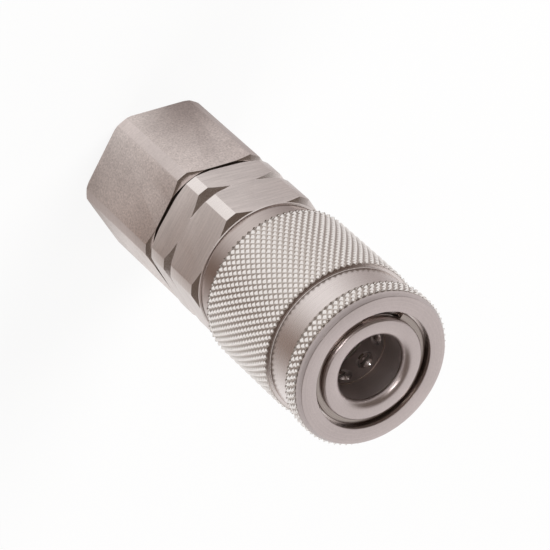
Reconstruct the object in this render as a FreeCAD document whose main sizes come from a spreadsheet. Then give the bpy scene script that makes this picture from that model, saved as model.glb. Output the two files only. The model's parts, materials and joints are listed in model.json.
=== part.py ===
import FreeCAD, Part
import math
import os
import Sketcher

# Socket half of a ball-lock quick coupling, standing on the rear face of its adaptor.
# +Z runs along the axis to the nose. Radii are measured from that axis, heights from the rear face.

SIZES = {
    # Locking balls, which set the radii of the nose and of the sleeve's land around the plug's bore
    "plug_bore": 13.9,
    "ball_diameter": 4.5,
    "ball_reach": 0.5,
    "ball_play": 0.15,
    "ball_depth": 10.4,
    "ball_count": 8,
    "ball_turn": 14.2,
    "ball_hole_clearance": 0.1,
    "ball_lip_overhang": 0.4,
    "ball_lip_play": 0.07,
    "land_clearance": 0.2,
    # Hexagons, turned from round bar so that narrow strips of the bar stay on the corners
    "knurl_rise": 0.32,
    "flat_depth": 1.68,
    "end_circle_rise": 0.35,
    "rear_edge": 0.5,
    "chamfer_angle": 30.0,
    "adaptor_hex_length": 25.5,
    "adaptor_turn": 2.1,
    "joint_gap": 0.9,
    "body_hex_length": 17.3,
    "groove_position": 7.0,
    "groove_width": 2.7,
    "groove_floor_rise": 0.15,
    # Rear port and the spigot that screws into the body
    "port_wall": 5.65,
    "port_depth": 16.0,
    "port_lead": 0.9,
    "joint_wall": 4.0,
    "joint_clearance": 0.1,
    "collar_step": 2.4,
    "spigot_length": 13.6,
    "spigot_mouth_step": 0.3,
    "flow_step": 2.4,
    "joint_seal_setback": 4.0,
    # Seals: round cord with a flat backup ring beside it
    "seal_cord": 1.8,
    "seal_play": 0.05,
    "backup_thickness": 1.1,
    "seal_side_play": 0.15,
    # Neck, spring seat and nose of the body
    "rim_step": 0.3,
    "rim_length": 0.4,
    "tube_step": 0.9,
    "tube_stop_gap": 0.9,
    "nose_setback": 0.14,
    "nose_edge": 0.25,
    "mouth_clearance": 0.2,
    "mouth_length": 7.4,
    "mouth_radius": 1.75,
    "plug_bore_length": 12.7,
    "plug_seal_drop": 3.6,
    # Valve seat and chamber
    "throat_bore": 9.2,
    "throat_length": 1.6,
    "chamber_step": 3.6,
    "chamber_length": 19.2,
    # Stop ring
    "ring_depth": 1.2,
    "ring_thickness": 1.05,
    "ring_clearance": 0.5,
    "ring_groove_depth": 0.7,
    "ring_play": 0.05,
    "ring_gap": 46.0,
    "ring_turn": -40.0,
    # Sleeve
    "sleeve_travel": 4.5,
    "sleeve_stop_gap": 1.04,
    "sleeve_wall": 1.65,
    "face_step": 1.0,
    "face_chamfer": 1.3,
    "front_knurl_length": 3.1,
    "knurl_teeth": 76,
    "knurl_row": 1.0,
    "knurl_depth": 0.42,
    "knurl_stock": 0.05,
    "band_step": 1.1,
    "band_length": 7.4,
    "edge_break": 0.25,
    "recess_width": 1.8,
    "recess_play": 0.1,
    "skirt_clearance": 0.25,
    "skirt_lead": 0.5,
    "skirt_overlap": 3.0,
    "land_rear": 3.1,
    "land_front": 0.7,
    "release_ramp": 1.5,
    "release_depth": 1.0,
    "release_room": 1.86,
    # Sleeve spring and its washer
    "washer_thickness": 1.0,
    "washer_clearance": 0.3,
    "sleeve_spring_wire": 1.7,
    "sleeve_spring_turns": 4.5,
    "spring_inner_room": 0.85,
    "spring_outer_room": 1.0,
    "spring_play": 0.05,
    "coil_stations": 12,
    "wire_sides": 8,
    # Valve
    "guide_thickness": 2.5,
    "guide_boss_wall": 1.2,
    "guide_boss_length": 2.2,
    "guide_hole": 2.6,
    "guide_hole_reach": 2.8,
    "guide_hole_count": 6,
    "stem_diameter": 4.8,
    "stem_clearance": 0.15,
    "stem_overhang": 0.6,
    "poppet_tip": 5.0,
    "poppet_reach": 4.0,
    "poppet_flow_gap": 1.3,
    "poppet_skirt": 1.7,
    "seat_clearance": 0.12,
    "seat_seal_setback": 0.4,
    "seat_seal_width": 1.2,
    "seat_seal_thickness": 0.9,
    "seat_seal_proud": 0.05,
    "valve_spring_wire": 1.2,
    "valve_spring_turns": 5.5,
    "valve_spring_room": 0.4,
}


class Length:
    """A size with its number and the text of the expression that drives it."""

    def __init__(self, text, value):
        self.text = text
        self.value = value

    def joined(self, sign, other, value):
        return Length("(%s %s %s)" % (self.text, sign, as_length(other).text), value)

    def __add__(self, other):
        return self.joined("+", other, self.value + as_length(other).value)

    def __sub__(self, other):
        return self.joined("-", other, self.value - as_length(other).value)

    def __mul__(self, other):
        return self.joined("*", other, self.value * as_length(other).value)

    def __truediv__(self, other):
        return self.joined("/", other, self.value / as_length(other).value)


def as_length(number):
    if isinstance(number, Length):
        return number
    return Length(repr(number), float(number))


doc = FreeCAD.newDocument("QuickCoupling")
sheet = doc.addObject("Spreadsheet::Sheet", "Sizes")
for row, (alias, number) in enumerate(SIZES.items(), start=1):
    sheet.set("A%d" % row, str(number))
    sheet.setAlias("A%d" % row, alias)
doc.recompute()


def size(alias):
    return Length("Sizes." + alias, float(sheet.get(alias)))


def half(alias):
    return size(alias) / 2


def new_body(label):
    body = doc.addObject("PartDesign::Body", label)
    body.Label = label
    return body


def origin_feature(body, role):
    return next(item for item in body.Origin.OriginFeatures if item.Role == role)


def new_sketch(body, name, plane):
    sketch = body.newObject("Sketcher::SketchObject", body.Label + "_" + name)
    sketch.AttachmentSupport = [(origin_feature(body, plane), "")]
    sketch.MapMode = "FlatFace"
    return sketch


def pin_point(sketch, edge, point):
    """Holds the start of an edge at the point: on an axis where a coordinate is 0, else at its distance."""
    for kind, axis, coordinate in (("DistanceX", -2, point[0]), ("DistanceY", -1, point[1])):
        if coordinate.value == 0:
            sketch.addConstraint(Sketcher.Constraint("PointOnObject", edge, 1, axis))
            continue
        index = sketch.addConstraint(Sketcher.Constraint(kind, -1, 1, edge, 1, coordinate.value))
        sketch.setExpression("Constraints[%d]" % index, coordinate.text)


def draw_outline(sketch, corners):
    """Draws a closed outline of straight lines through (radius, height) corners."""
    corners = [(as_length(x), as_length(y)) for x, y in corners]
    spots = [FreeCAD.Vector(x.value, y.value, 0) for x, y in corners]
    count = len(spots)
    first = sketch.GeometryCount
    sketch.addGeometry([Part.LineSegment(spots[i], spots[(i + 1) % count]) for i in range(count)])
    for i in range(count):
        sketch.addConstraint(Sketcher.Constraint("Coincident", first + i, 2, first + (i + 1) % count, 1))
    for i, corner in enumerate(corners):
        pin_point(sketch, first + i, corner)


def draw_circle(sketch, centre_x, radius):
    """Draws a circle whose centre lies on the sketch's horizontal axis."""
    centre_x = as_length(centre_x)
    centre = FreeCAD.Vector(centre_x.value, 0, 0)
    edge = sketch.addGeometry(Part.Circle(centre, FreeCAD.Vector(0, 0, 1), radius.value))
    index = sketch.addConstraint(Sketcher.Constraint("Radius", edge, radius.value))
    sketch.setExpression("Constraints[%d]" % index, radius.text)
    if centre_x.value == 0:
        sketch.addConstraint(Sketcher.Constraint("Coincident", edge, 3, -1, 1))
        return
    sketch.addConstraint(Sketcher.Constraint("PointOnObject", edge, 3, -1))
    index = sketch.addConstraint(Sketcher.Constraint("DistanceX", -1, 1, edge, 3, centre_x.value))
    sketch.setExpression("Constraints[%d]" % index, centre_x.text)


def turn(body, name, corners):
    """Turns a (radius, height) outline about the axis."""
    sketch = new_sketch(body, name, "XZ_Plane")
    draw_outline(sketch, corners)
    turned = body.newObject("PartDesign::Revolution", body.Label + "_" + name + "_turned")
    turned.Profile = sketch
    turned.ReferenceAxis = (sketch, ["V_Axis"])
    turned.Angle = 360.0
    doc.recompute()
    return turned


def cut_checked(body, feature):
    """Recomputes after a cutting feature and makes sure that it took material away."""
    before = body.Shape.Volume
    doc.recompute()
    if not feature.Shape.Volume < before:
        raise RuntimeError(feature.Label + " cuts nothing")
    body.Tip = feature
    return feature


def mill_hexagon(body, start, length):
    """Mills six flats between two heights of a turned blank."""
    sketch = new_sketch(body, "flats", "XY_Plane")
    sketch.AttachmentOffset = FreeCAD.Placement(FreeCAD.Vector(0, 0, start.value), FreeCAD.Rotation())
    sketch.setExpression("AttachmentOffset.Base.z", start.text)
    draw_circle(sketch, 0, hex_corner * 2)
    first = sketch.GeometryCount
    tips = [FreeCAD.Vector(hex_flat.value / math.cos(math.pi / 6), 0, 0)]
    for i in range(1, 6):
        tips.append(FreeCAD.Rotation(FreeCAD.Vector(0, 0, 1), 60 * i).multVec(tips[0]))
    sketch.addGeometry([Part.LineSegment(tips[i], tips[(i + 1) % 6]) for i in range(6)])
    circle = sketch.addGeometry(Part.Circle(FreeCAD.Vector(), FreeCAD.Vector(0, 0, 1), tips[0].x), True)
    sketch.addConstraint(Sketcher.Constraint("Coincident", circle, 3, -1, 1))
    for i in range(6):
        sketch.addConstraint(Sketcher.Constraint("Coincident", first + i, 2, first + (i + 1) % 6, 1))
        sketch.addConstraint(Sketcher.Constraint("PointOnObject", first + i, 1, circle))
    for i in range(5):
        sketch.addConstraint(Sketcher.Constraint("Equal", first + i, first + i + 1))
    sketch.addConstraint(Sketcher.Constraint("PointOnObject", first, 1, -1))
    index = sketch.addConstraint(Sketcher.Constraint("Distance", -1, 1, first, hex_flat.value))
    sketch.setExpression("Constraints[%d]" % index, hex_flat.text)
    pocket = body.newObject("PartDesign::Pocket", body.Label + "_hexagon")
    pocket.Profile = sketch
    pocket.setExpression("Length", length.text)
    pocket.Reversed = True
    return cut_checked(body, pocket)


def repeat_around(body, feature, count, name):
    """Repeats a feature evenly about the axis."""
    pattern = body.newObject("PartDesign::PolarPattern", body.Label + "_" + name)
    pattern.Originals = [feature]
    pattern.Axis = (origin_feature(body, "Z_Axis"), [""])
    pattern.Angle = 360.0
    pattern.setExpression("Occurrences", count.text)
    body.Tip = pattern
    doc.recompute()
    return pattern


def turned_ring(label, inner, outer, bottom, top):
    body = new_body(label)
    turn(body, "section", [(inner, bottom), (outer, bottom), (outer, top), (inner, top)])
    return body


def cord_ring(label, radius, cord, height):
    """A seal of round cord about the axis."""
    ring = doc.addObject("Part::Torus", label)
    ring.Label = label
    ring.setExpression("Radius1", radius.text)
    ring.setExpression("Radius2", cord.text)
    ring.setExpression("Placement.Base.z", height.text)
    return ring


def coil_spring(label, radius, wire, turns, bottom, top):
    """A wire wound between two seats, lofted through sections around the coil."""
    start = bottom + size("spring_play") + wire
    height = top - size("spring_play") - wire - start
    per_turn = int(SIZES["coil_stations"])
    stations = int(turns.value * per_turn)
    upright = FreeCAD.Rotation(FreeCAD.Vector(1, 0, 0), 90)
    sections = []
    for station in range(stations + 1):
        section = doc.addObject("Part::RegularPolygon", "%s_section_%d" % (label, station))
        section.setExpression("Polygon", "Sizes.wire_sides")
        section.setExpression("Circumradius", wire.text)
        around = FreeCAD.Rotation(FreeCAD.Vector(0, 0, 1), 360.0 * station / per_turn)
        section.Placement.Rotation = around.multiply(upright)
        angle = "%d * 360 deg / Sizes.coil_stations" % station
        section.setExpression("Placement.Base.x", "%s * cos(%s)" % (radius.text, angle))
        section.setExpression("Placement.Base.y", "%s * sin(%s)" % (radius.text, angle))
        section.setExpression("Placement.Base.z", (start + height * station / stations).text)
        sections.append(section)
    spring = doc.addObject("Part::Loft", label)
    spring.Label = label
    spring.Sections = sections
    spring.Solid = True
    spring.Ruled = True
    doc.recompute()
    return spring


# Radii that several pieces share, from the plug's bore outwards

plug = half("plug_bore")
mouth = plug + size("mouth_clearance")
ball = half("ball_diameter")
ball_circle = plug - size("ball_reach") + ball
land = ball_circle + ball + size("ball_play")
nose = land - size("land_clearance")
tube = nose + size("tube_step")
sleeve_wire = half("sleeve_spring_wire")
spring_circle = tube + size("spring_inner_room") + sleeve_wire
skirt = spring_circle + sleeve_wire + size("spring_outer_room")
neck = skirt - size("skirt_clearance")
rim = neck + size("rim_step")
knurl = skirt + size("sleeve_wall")
band = knurl - size("band_step")
recess = nose + size("recess_width")
ring_floor = nose - size("ring_groove_depth")
hex_corner = knurl - size("knurl_rise")
hex_flat = hex_corner - size("flat_depth")
hex_end = hex_flat + size("end_circle_rise")
port = hex_flat - size("port_wall")
joint_bore = hex_flat - size("joint_wall")
spigot = joint_bore - size("joint_clearance")
collar = joint_bore + size("collar_step")
seal_depth = size("seal_cord") + size("seal_play") * 2
joint_groove = joint_bore - seal_depth
plug_groove = plug + seal_depth
throat = half("throat_bore")
chamber = throat + size("chamber_step")
spigot_mouth = chamber - size("spigot_mouth_step")
flow = spigot_mouth - size("flow_step")
stem = half("stem_diameter")
guide_boss = stem + size("guide_boss_wall")
valve_wire = half("valve_spring_wire")
poppet_head = chamber - size("poppet_flow_gap")
seat_seal_outer = poppet_head - size("seat_seal_setback")
seat_seal_inner = seat_seal_outer - size("seat_seal_width")

# Heights that several pieces share, from the rear face up

slope = Length("tan(Sizes.chamfer_angle * 1 deg)", math.tan(math.radians(SIZES["chamfer_angle"])))
hex_chamfer = (hex_corner - hex_end) * slope
joint_face = size("adaptor_hex_length") + size("joint_gap")
spigot_end = joint_face + size("spigot_length")
chamber_floor = spigot_end + size("guide_thickness")
throat_start = chamber_floor + size("chamber_length")
plug_floor = throat_start + size("throat_length")
body_hex_end = joint_face + size("body_hex_length")
rim_end = body_hex_end + size("rim_length")
sleeve_rear = rim_end + size("sleeve_travel") + size("sleeve_stop_gap")
spring_seat = sleeve_rear + size("skirt_overlap")
mouth_step = plug_floor + size("plug_bore_length")
nose_end = mouth_step + size("mouth_length")
sleeve_front = nose_end + size("nose_setback")
ball_plane = sleeve_front - size("ball_depth")
ring_front = sleeve_front - size("ring_depth")
ring_rear = ring_front - size("ring_thickness")
land_start = ball_plane - size("land_rear")
washer_bottom = land_start - size("washer_thickness")
tube_end = washer_bottom - size("sleeve_travel") - size("tube_stop_gap")
seal_room = size("seal_cord") + size("backup_thickness") + size("seal_side_play") * 2
plug_seal_top = ball_plane - size("plug_seal_drop")
plug_seal_bottom = plug_seal_top - seal_room
joint_seal_top = spigot_end - size("joint_seal_setback")
joint_seal_bottom = joint_seal_top - seal_room


def make_adaptor():
    body = new_body("rear_adaptor")
    hex_length = size("adaptor_hex_length")
    turn(body, "profile", [
        (port + size("port_lead"), 0),
        (hex_corner - size("rear_edge"), 0),
        (hex_corner, size("rear_edge") * slope),
        (hex_corner, hex_length - hex_chamfer),
        (hex_end, hex_length),
        (collar, hex_length),
        (collar, joint_face),
        (spigot, joint_face),
        (spigot, joint_seal_bottom),
        (joint_groove, joint_seal_bottom),
        (joint_groove, joint_seal_top),
        (spigot, joint_seal_top),
        (spigot, spigot_end),
        (spigot_mouth, spigot_end),
        (flow, spigot_end - size("flow_step")),
        (flow, size("port_depth") + (port - flow) * slope),
        (port, size("port_depth")),
        (port, size("port_lead")),
    ])
    mill_hexagon(body, as_length(0.0), hex_length)
    body.setExpression("Placement.Rotation.Angle", "Sizes.adaptor_turn * 1 deg")
    return body


def make_body():
    body = new_body("coupling_body")
    groove_middle = joint_face + size("groove_position")
    turn(body, "profile", [
        (joint_bore, joint_face),
        (hex_end, joint_face),
        (hex_corner, joint_face + hex_chamfer),
        (hex_corner, groove_middle - half("groove_width")),
        (hex_flat + size("groove_floor_rise"), groove_middle),
        (hex_corner, groove_middle + half("groove_width")),
        (hex_corner, body_hex_end - (hex_corner - rim) * slope),
        (rim, body_hex_end),
        (rim, rim_end - size("rim_step")),
        (neck, rim_end),
        (neck, spring_seat),
        (tube, spring_seat),
        (tube, tube_end - size("tube_step")),
        (nose, tube_end),
        (nose, ring_rear - size("ring_play")),
        (ring_floor, ring_rear - size("ring_play")),
        (ring_floor, ring_front + size("ring_play")),
        (nose, ring_front + size("ring_play")),
        (nose, nose_end - size("nose_edge")),
        (nose - size("nose_edge"), nose_end),
        (mouth, nose_end),
        (mouth, mouth_step),
        (plug, mouth_step),
        (plug, plug_seal_top),
        (plug_groove, plug_seal_top),
        (plug_groove, plug_seal_bottom),
        (plug, plug_seal_bottom),
        (plug, plug_floor),
        (throat, plug_floor),
        (throat, throat_start),
        (chamber, throat_start - size("chamber_step")),
        (chamber, chamber_floor),
        (joint_bore, chamber_floor),
    ])
    mill_hexagon(body, joint_face, size("body_hex_length"))
    drill_ball_holes(body)
    round_mouth(body)
    return body


def drill_ball_holes(body):
    """Drills the ball holes from outside, each down to a thin lip that keeps its ball in."""
    hole = ball + size("ball_hole_clearance")
    lip = ball - size("ball_lip_overhang")
    rise = (ball.value ** 2 - lip.value ** 2) ** 0.5
    lip_rise = Length("sqrt(%s ^ 2 - %s ^ 2)" % (ball.text, lip.text), rise)
    lip_face = ball_circle - lip_rise - size("ball_lip_play")
    inside = plug / 2
    outside = nose + hole
    sketch = new_sketch(body, "ball_hole", "XZ_Plane")
    draw_outline(sketch, [
        (inside, ball_plane),
        (outside, ball_plane),
        (outside, ball_plane + hole),
        (lip_face, ball_plane + hole),
        (lip_face, ball_plane + lip),
        (inside, ball_plane + lip),
    ])
    axis_start = FreeCAD.Vector(0, ball_plane.value, 0)
    axis_end = FreeCAD.Vector(inside.value, ball_plane.value, 0)
    axis = sketch.addGeometry(Part.LineSegment(axis_start, axis_end), True)
    sketch.addConstraint(Sketcher.Constraint("PointOnObject", axis, 1, -2))
    sketch.addConstraint(Sketcher.Constraint("Coincident", axis, 2, 0, 1))
    sketch.addConstraint(Sketcher.Constraint("Horizontal", axis))
    upright = FreeCAD.Vector(0, 1, 0)
    sketch.AttachmentOffset = FreeCAD.Placement(FreeCAD.Vector(), FreeCAD.Rotation(upright, 1.0))
    sketch.setExpression("AttachmentOffset.Rotation.Angle", "Sizes.ball_turn * 1 deg")
    groove = body.newObject("PartDesign::Groove", "ball_hole")
    groove.Profile = sketch
    groove.ReferenceAxis = (sketch, ["Axis0"])
    groove.Angle = 360.0
    cut_checked(body, groove)
    repeat_around(body, groove, size("ball_count"), "ball_holes")


def round_mouth(body):
    """Rounds the inner edge of the nose, where the plug enters."""
    names = []
    for number, edge in enumerate(body.Shape.Edges, start=1):
        if not isinstance(edge.Curve, Part.Circle):
            continue
        on_end = abs(edge.Curve.Center.z - nose_end.value) < 1e-6
        on_bore = abs(edge.Curve.Radius - mouth.value) < 1e-6
        if on_end and on_bore:
            names.append("Edge%d" % number)
    drilled = body.Tip
    fillet = body.newObject("PartDesign::Fillet", "mouth_rounding")
    fillet.Base = (drilled, names)
    fillet.setExpression("Radius", "Sizes.mouth_radius")
    cut_checked(body, fillet)


def facet(*corners):
    return Part.Face(Part.makePolygon([*corners, corners[0]]))


def knurled_bar(low, rows):
    """A bar covered in pyramid teeth: crests and pits take turns on a lattice that folds from pit to pit."""
    columns = 2 * int(size("knurl_teeth").value)
    step = size("knurl_row").value
    root = knurl - size("knurl_depth")

    def spot(row, column):
        radius = (knurl if (row + column) % 2 == 0 else root).value
        around = FreeCAD.Rotation(FreeCAD.Vector(0, 0, 1), 360.0 * (column % columns) / columns)
        return around.multVec(FreeCAD.Vector(radius, 0, low.value + step * row))

    facets = []
    for row in range(rows):
        for column in range(columns):
            square = [spot(row, column), spot(row, column + 1), spot(row + 1, column + 1), spot(row + 1, column)]
            if (row + column) % 2 == 1:
                square.append(square.pop(0))
            crest, pit, far_crest, far_pit = square
            facets += [facet(crest, pit, far_pit), facet(pit, far_crest, far_pit)]
    floor = facet(*[spot(0, column) for column in reversed(range(columns))])
    roof = facet(*[spot(rows, column) for column in range(columns)])
    skin = Part.makeCompound(facets + [floor, roof])
    skin.sewShape()
    return Part.Solid(skin.Shells[0])


def knurl_waste(label, low, high):
    """The ring that knurling takes off a blank, from one height to at least the other."""
    rows = math.ceil((high - low).value / size("knurl_row").value)
    outside = (knurl + size("knurl_depth")).value
    length = rows * size("knurl_row").value
    mantle = Part.makeCylinder(outside, length, FreeCAD.Vector(0, 0, low.value))
    waste = doc.addObject("Part::Feature", label)
    waste.Shape = mantle.cut(knurled_bar(low, rows))
    return waste


def make_sleeve():
    """The sleeve: turned with a little stock outside, then knurled in two places."""
    blank = new_body("sleeve_blank")
    stock = knurl + size("knurl_stock")
    edge = size("edge_break")
    front_knurl_rear = sleeve_front - size("face_chamfer") - size("front_knurl_length")
    band_rear = front_knurl_rear - size("band_length")
    recess_floor = ring_rear - size("recess_play")
    ramp_start = ball_plane + size("land_front")
    ramp_end = ramp_start + size("release_ramp")
    release_end = ball_plane + size("sleeve_travel") + size("release_room")
    release = land + size("release_depth")
    turn(blank, "profile", [
        (skirt, sleeve_rear + size("skirt_lead")),
        (skirt + size("skirt_lead"), sleeve_rear),
        (stock - edge, sleeve_rear),
        (stock, sleeve_rear + edge),
        (stock, band_rear - edge),
        (stock - edge, band_rear),
        (band, band_rear),
        (band, front_knurl_rear - size("band_step")),
        (stock, front_knurl_rear),
        (stock, sleeve_front - size("face_chamfer")),
        (knurl - size("face_step"), sleeve_front),
        (recess, sleeve_front),
        (recess, recess_floor),
        (land, recess_floor),
        (land, release_end),
        (release, release_end),
        (release, ramp_end),
        (land, ramp_start),
        (land, land_start),
        (skirt, land_start),
    ])
    wastes = doc.addObject("Part::Compound", "knurl_wastes")
    wastes.Links = [
        knurl_waste("rear_knurl_waste", sleeve_rear - half("knurl_row"), band_rear),
        knurl_waste("front_knurl_waste", front_knurl_rear - size("knurl_row") * 1.5, sleeve_front),
    ]
    sleeve = doc.addObject("Part::Cut", "sleeve")
    sleeve.Label = "sleeve"
    sleeve.Base = blank
    sleeve.Tool = wastes
    doc.recompute()
    if not sleeve.Shape.Volume < blank.Shape.Volume:
        raise RuntimeError("the knurl cuts nothing")
    return sleeve


def make_stop_ring():
    """An open ring, turned less than a full circle, in the groove of the nose."""
    body = new_body("stop_ring")
    inner = ring_floor + size("ring_play")
    outer = recess - size("ring_clearance")
    sketch = new_sketch(body, "section", "XZ_Plane")
    draw_outline(sketch, [
        (inner, ring_rear),
        (outer, ring_rear),
        (outer, ring_front),
        (inner, ring_front),
    ])
    turned = body.newObject("PartDesign::Revolution", "stop_ring_turned")
    turned.Profile = sketch
    turned.ReferenceAxis = (sketch, ["V_Axis"])
    turned.setExpression("Angle", "360 - Sizes.ring_gap")
    body.setExpression("Placement.Rotation.Angle", "(Sizes.ring_turn + Sizes.ring_gap / 2) * 1 deg")
    doc.recompute()
    return body


def make_balls():
    balls = []
    for number in range(int(SIZES["ball_count"])):
        label = "locking_ball_%d" % (number + 1)
        sphere = doc.addObject("Part::Sphere", label)
        sphere.Label = label
        angle = "(Sizes.ball_turn + %d * 360 / Sizes.ball_count) * 1 deg" % number
        sphere.setExpression("Radius", ball.text)
        sphere.setExpression("Placement.Base.x", "%s * cos(%s)" % (ball_circle.text, angle))
        sphere.setExpression("Placement.Base.y", "%s * sin(%s)" % (ball_circle.text, angle))
        sphere.setExpression("Placement.Base.z", ball_plane.text)
        balls.append(sphere)
    return balls


def make_valve_guide():
    """The disc that carries the poppet's stem, clamped between the spigot and the chamber."""
    body = new_body("valve_guide")
    bore = stem + size("stem_clearance")
    boss_end = chamber_floor + size("guide_boss_length")
    turn(body, "profile", [
        (bore, spigot_end),
        (spigot, spigot_end),
        (spigot, chamber_floor),
        (guide_boss, chamber_floor),
        (guide_boss, boss_end),
        (bore, boss_end),
    ])
    sketch = new_sketch(body, "flow_hole", "XY_Plane")
    sketch.setExpression("AttachmentOffset.Base.z", spigot_end.text)
    draw_circle(sketch, guide_boss + size("guide_hole_reach"), half("guide_hole"))
    pocket = body.newObject("PartDesign::Pocket", "guide_flow_hole")
    pocket.Profile = sketch
    pocket.setExpression("Length", "Sizes.guide_thickness")
    pocket.Reversed = True
    cut_checked(body, pocket)
    repeat_around(body, pocket, size("guide_hole_count"), "flow_holes")
    return body


# The poppet's cone lies parallel to the 45 degree seat, so a radius on it gives its height

def on_seat(radius):
    return throat_start + throat - radius - size("seat_clearance")


def make_poppet():
    body = new_body("valve_poppet")
    tip = half("poppet_tip")
    shoulder = throat - size("seat_clearance") * 3
    head_back = on_seat(poppet_head) - size("poppet_skirt")
    tip_end = plug_floor + size("poppet_reach")
    turn(body, "profile", [
        (0, spigot_end - size("stem_overhang")),
        (stem, spigot_end - size("stem_overhang")),
        (stem, head_back),
        (poppet_head, head_back),
        (poppet_head, on_seat(poppet_head)),
        (seat_seal_outer, on_seat(seat_seal_outer)),
        (seat_seal_outer, on_seat(seat_seal_outer) - size("seat_seal_thickness")),
        (seat_seal_inner, on_seat(seat_seal_inner) - size("seat_seal_thickness")),
        (seat_seal_inner, on_seat(seat_seal_inner)),
        (shoulder, on_seat(shoulder)),
        (tip, on_seat(tip)),
        (tip, tip_end),
        (0, tip_end),
    ])
    return body, head_back


def make_poppet_seal():
    body = new_body("poppet_seal")
    proud = size("seat_seal_proud")
    turn(body, "section", [
        (seat_seal_inner, on_seat(seat_seal_inner) - size("seat_seal_thickness")),
        (seat_seal_outer, on_seat(seat_seal_outer) - size("seat_seal_thickness")),
        (seat_seal_outer, on_seat(seat_seal_outer) + proud),
        (seat_seal_inner, on_seat(seat_seal_inner) + proud),
    ])
    return body


def make_parts():
    cord = half("seal_cord")
    play = size("seal_side_play")
    poppet, head_back = make_poppet()
    parts = [
        make_adaptor(),
        make_body(),
        make_sleeve(),
        make_stop_ring(),
        poppet,
        make_poppet_seal(),
        make_valve_guide(),
        turned_ring("spring_washer", nose + size("washer_clearance"), skirt - size("washer_clearance"),
                    washer_bottom, land_start),
        coil_spring("sleeve_spring", spring_circle, sleeve_wire, size("sleeve_spring_turns"),
                    spring_seat, washer_bottom),
        coil_spring("valve_spring", guide_boss + size("valve_spring_room") + valve_wire, valve_wire,
                    size("valve_spring_turns"), chamber_floor, head_back),
        cord_ring("adaptor_seal", joint_bore - size("seal_play") - cord, cord,
                  joint_seal_top - play - cord),
        turned_ring("adaptor_backup_ring", joint_groove + size("seal_play"), spigot,
                    joint_seal_bottom + play, joint_seal_bottom + play + size("backup_thickness")),
        cord_ring("plug_seal", plug + size("seal_play") + cord, cord,
                  plug_seal_bottom + play + cord),
        turned_ring("plug_backup_ring", plug, plug_groove - size("seal_play"),
                    plug_seal_top - play - size("backup_thickness"), plug_seal_top - play),
    ]
    return parts + make_balls()


def check_document(parts):
    for item in doc.Objects:
        if "Invalid" in item.State or "Error" in item.State:
            raise RuntimeError("%s failed: %s" % (item.Label, item.State))
    for part in parts:
        if part.Shape.isNull() or not part.Shape.isValid():
            raise RuntimeError(part.Label + " has no valid shape")


sub_parts = make_parts()
doc.recompute()
check_document(sub_parts)
os.makedirs("parts", exist_ok=True)
for sub_part in sub_parts:
    sub_part.Shape.exportStep("parts/%s.step" % sub_part.Label)
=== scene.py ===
import json
import math

import bmesh
import bpy
from bpy.props import FloatProperty, FloatVectorProperty, IntProperty, PointerProperty
from mathutils import Matrix, Vector


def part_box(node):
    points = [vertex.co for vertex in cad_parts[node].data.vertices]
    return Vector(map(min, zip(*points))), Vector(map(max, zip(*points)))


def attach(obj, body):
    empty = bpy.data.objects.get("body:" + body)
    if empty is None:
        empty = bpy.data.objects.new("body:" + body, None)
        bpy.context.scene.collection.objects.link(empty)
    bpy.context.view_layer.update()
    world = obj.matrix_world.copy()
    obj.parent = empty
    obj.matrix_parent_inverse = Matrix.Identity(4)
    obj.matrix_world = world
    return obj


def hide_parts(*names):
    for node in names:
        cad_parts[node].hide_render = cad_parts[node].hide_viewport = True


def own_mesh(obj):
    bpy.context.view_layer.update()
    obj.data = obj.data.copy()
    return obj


bl_info = {
    "name": "Ball-lock quick coupling",
    "version": (1, 0, 0),
    "blender": (4, 5, 0),
    "location": "View3D > Sidebar > Coupling",
    "description": "Dresses the packed coupling with knurls, a port thread and machined finishes",
    "category": "Object",
}

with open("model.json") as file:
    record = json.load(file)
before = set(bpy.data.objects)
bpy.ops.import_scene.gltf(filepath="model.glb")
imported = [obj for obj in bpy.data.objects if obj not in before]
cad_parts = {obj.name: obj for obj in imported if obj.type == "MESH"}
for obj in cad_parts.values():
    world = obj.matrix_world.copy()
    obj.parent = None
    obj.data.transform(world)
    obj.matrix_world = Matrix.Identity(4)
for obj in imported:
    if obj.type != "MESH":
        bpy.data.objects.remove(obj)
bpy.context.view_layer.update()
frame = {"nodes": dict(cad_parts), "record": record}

MM = 0.001
FULL_TURN = 2 * math.pi
WHITE = (1.0, 1.0, 1.0)


def reach(node):
    """Outer radius of a CAD node."""
    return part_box(node)[1].x


def bottom(node):
    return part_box(node)[0].z


def top(node):
    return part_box(node)[1].z


def mount_radius(name):
    mount = next(item for item in frame["record"]["mounts"] if item["name"] == name)
    return mount["dims"]["r_mm"] * MM


def length_property(name, description, default):
    return FloatProperty(name=name, description=description, default=default, min=0.0, precision=5,
                         unit="LENGTH")


def angle_property(name, description, degrees):
    return FloatProperty(name=name, description=description, default=math.radians(degrees), unit="ROTATION")


def share_property(name, description, default):
    return FloatProperty(name=name, description=description, default=default, subtype="FACTOR")


def number_property(name, description, default):
    return FloatProperty(name=name, description=description, default=default)


def power_property(name, description, default):
    return FloatProperty(name=name, description=description, default=default, subtype="POWER")


def colour_property(name, description, default):
    return FloatVectorProperty(name=name, description=description, default=default, size=3, min=0.0, max=1.0,
                               subtype="COLOR")


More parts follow.
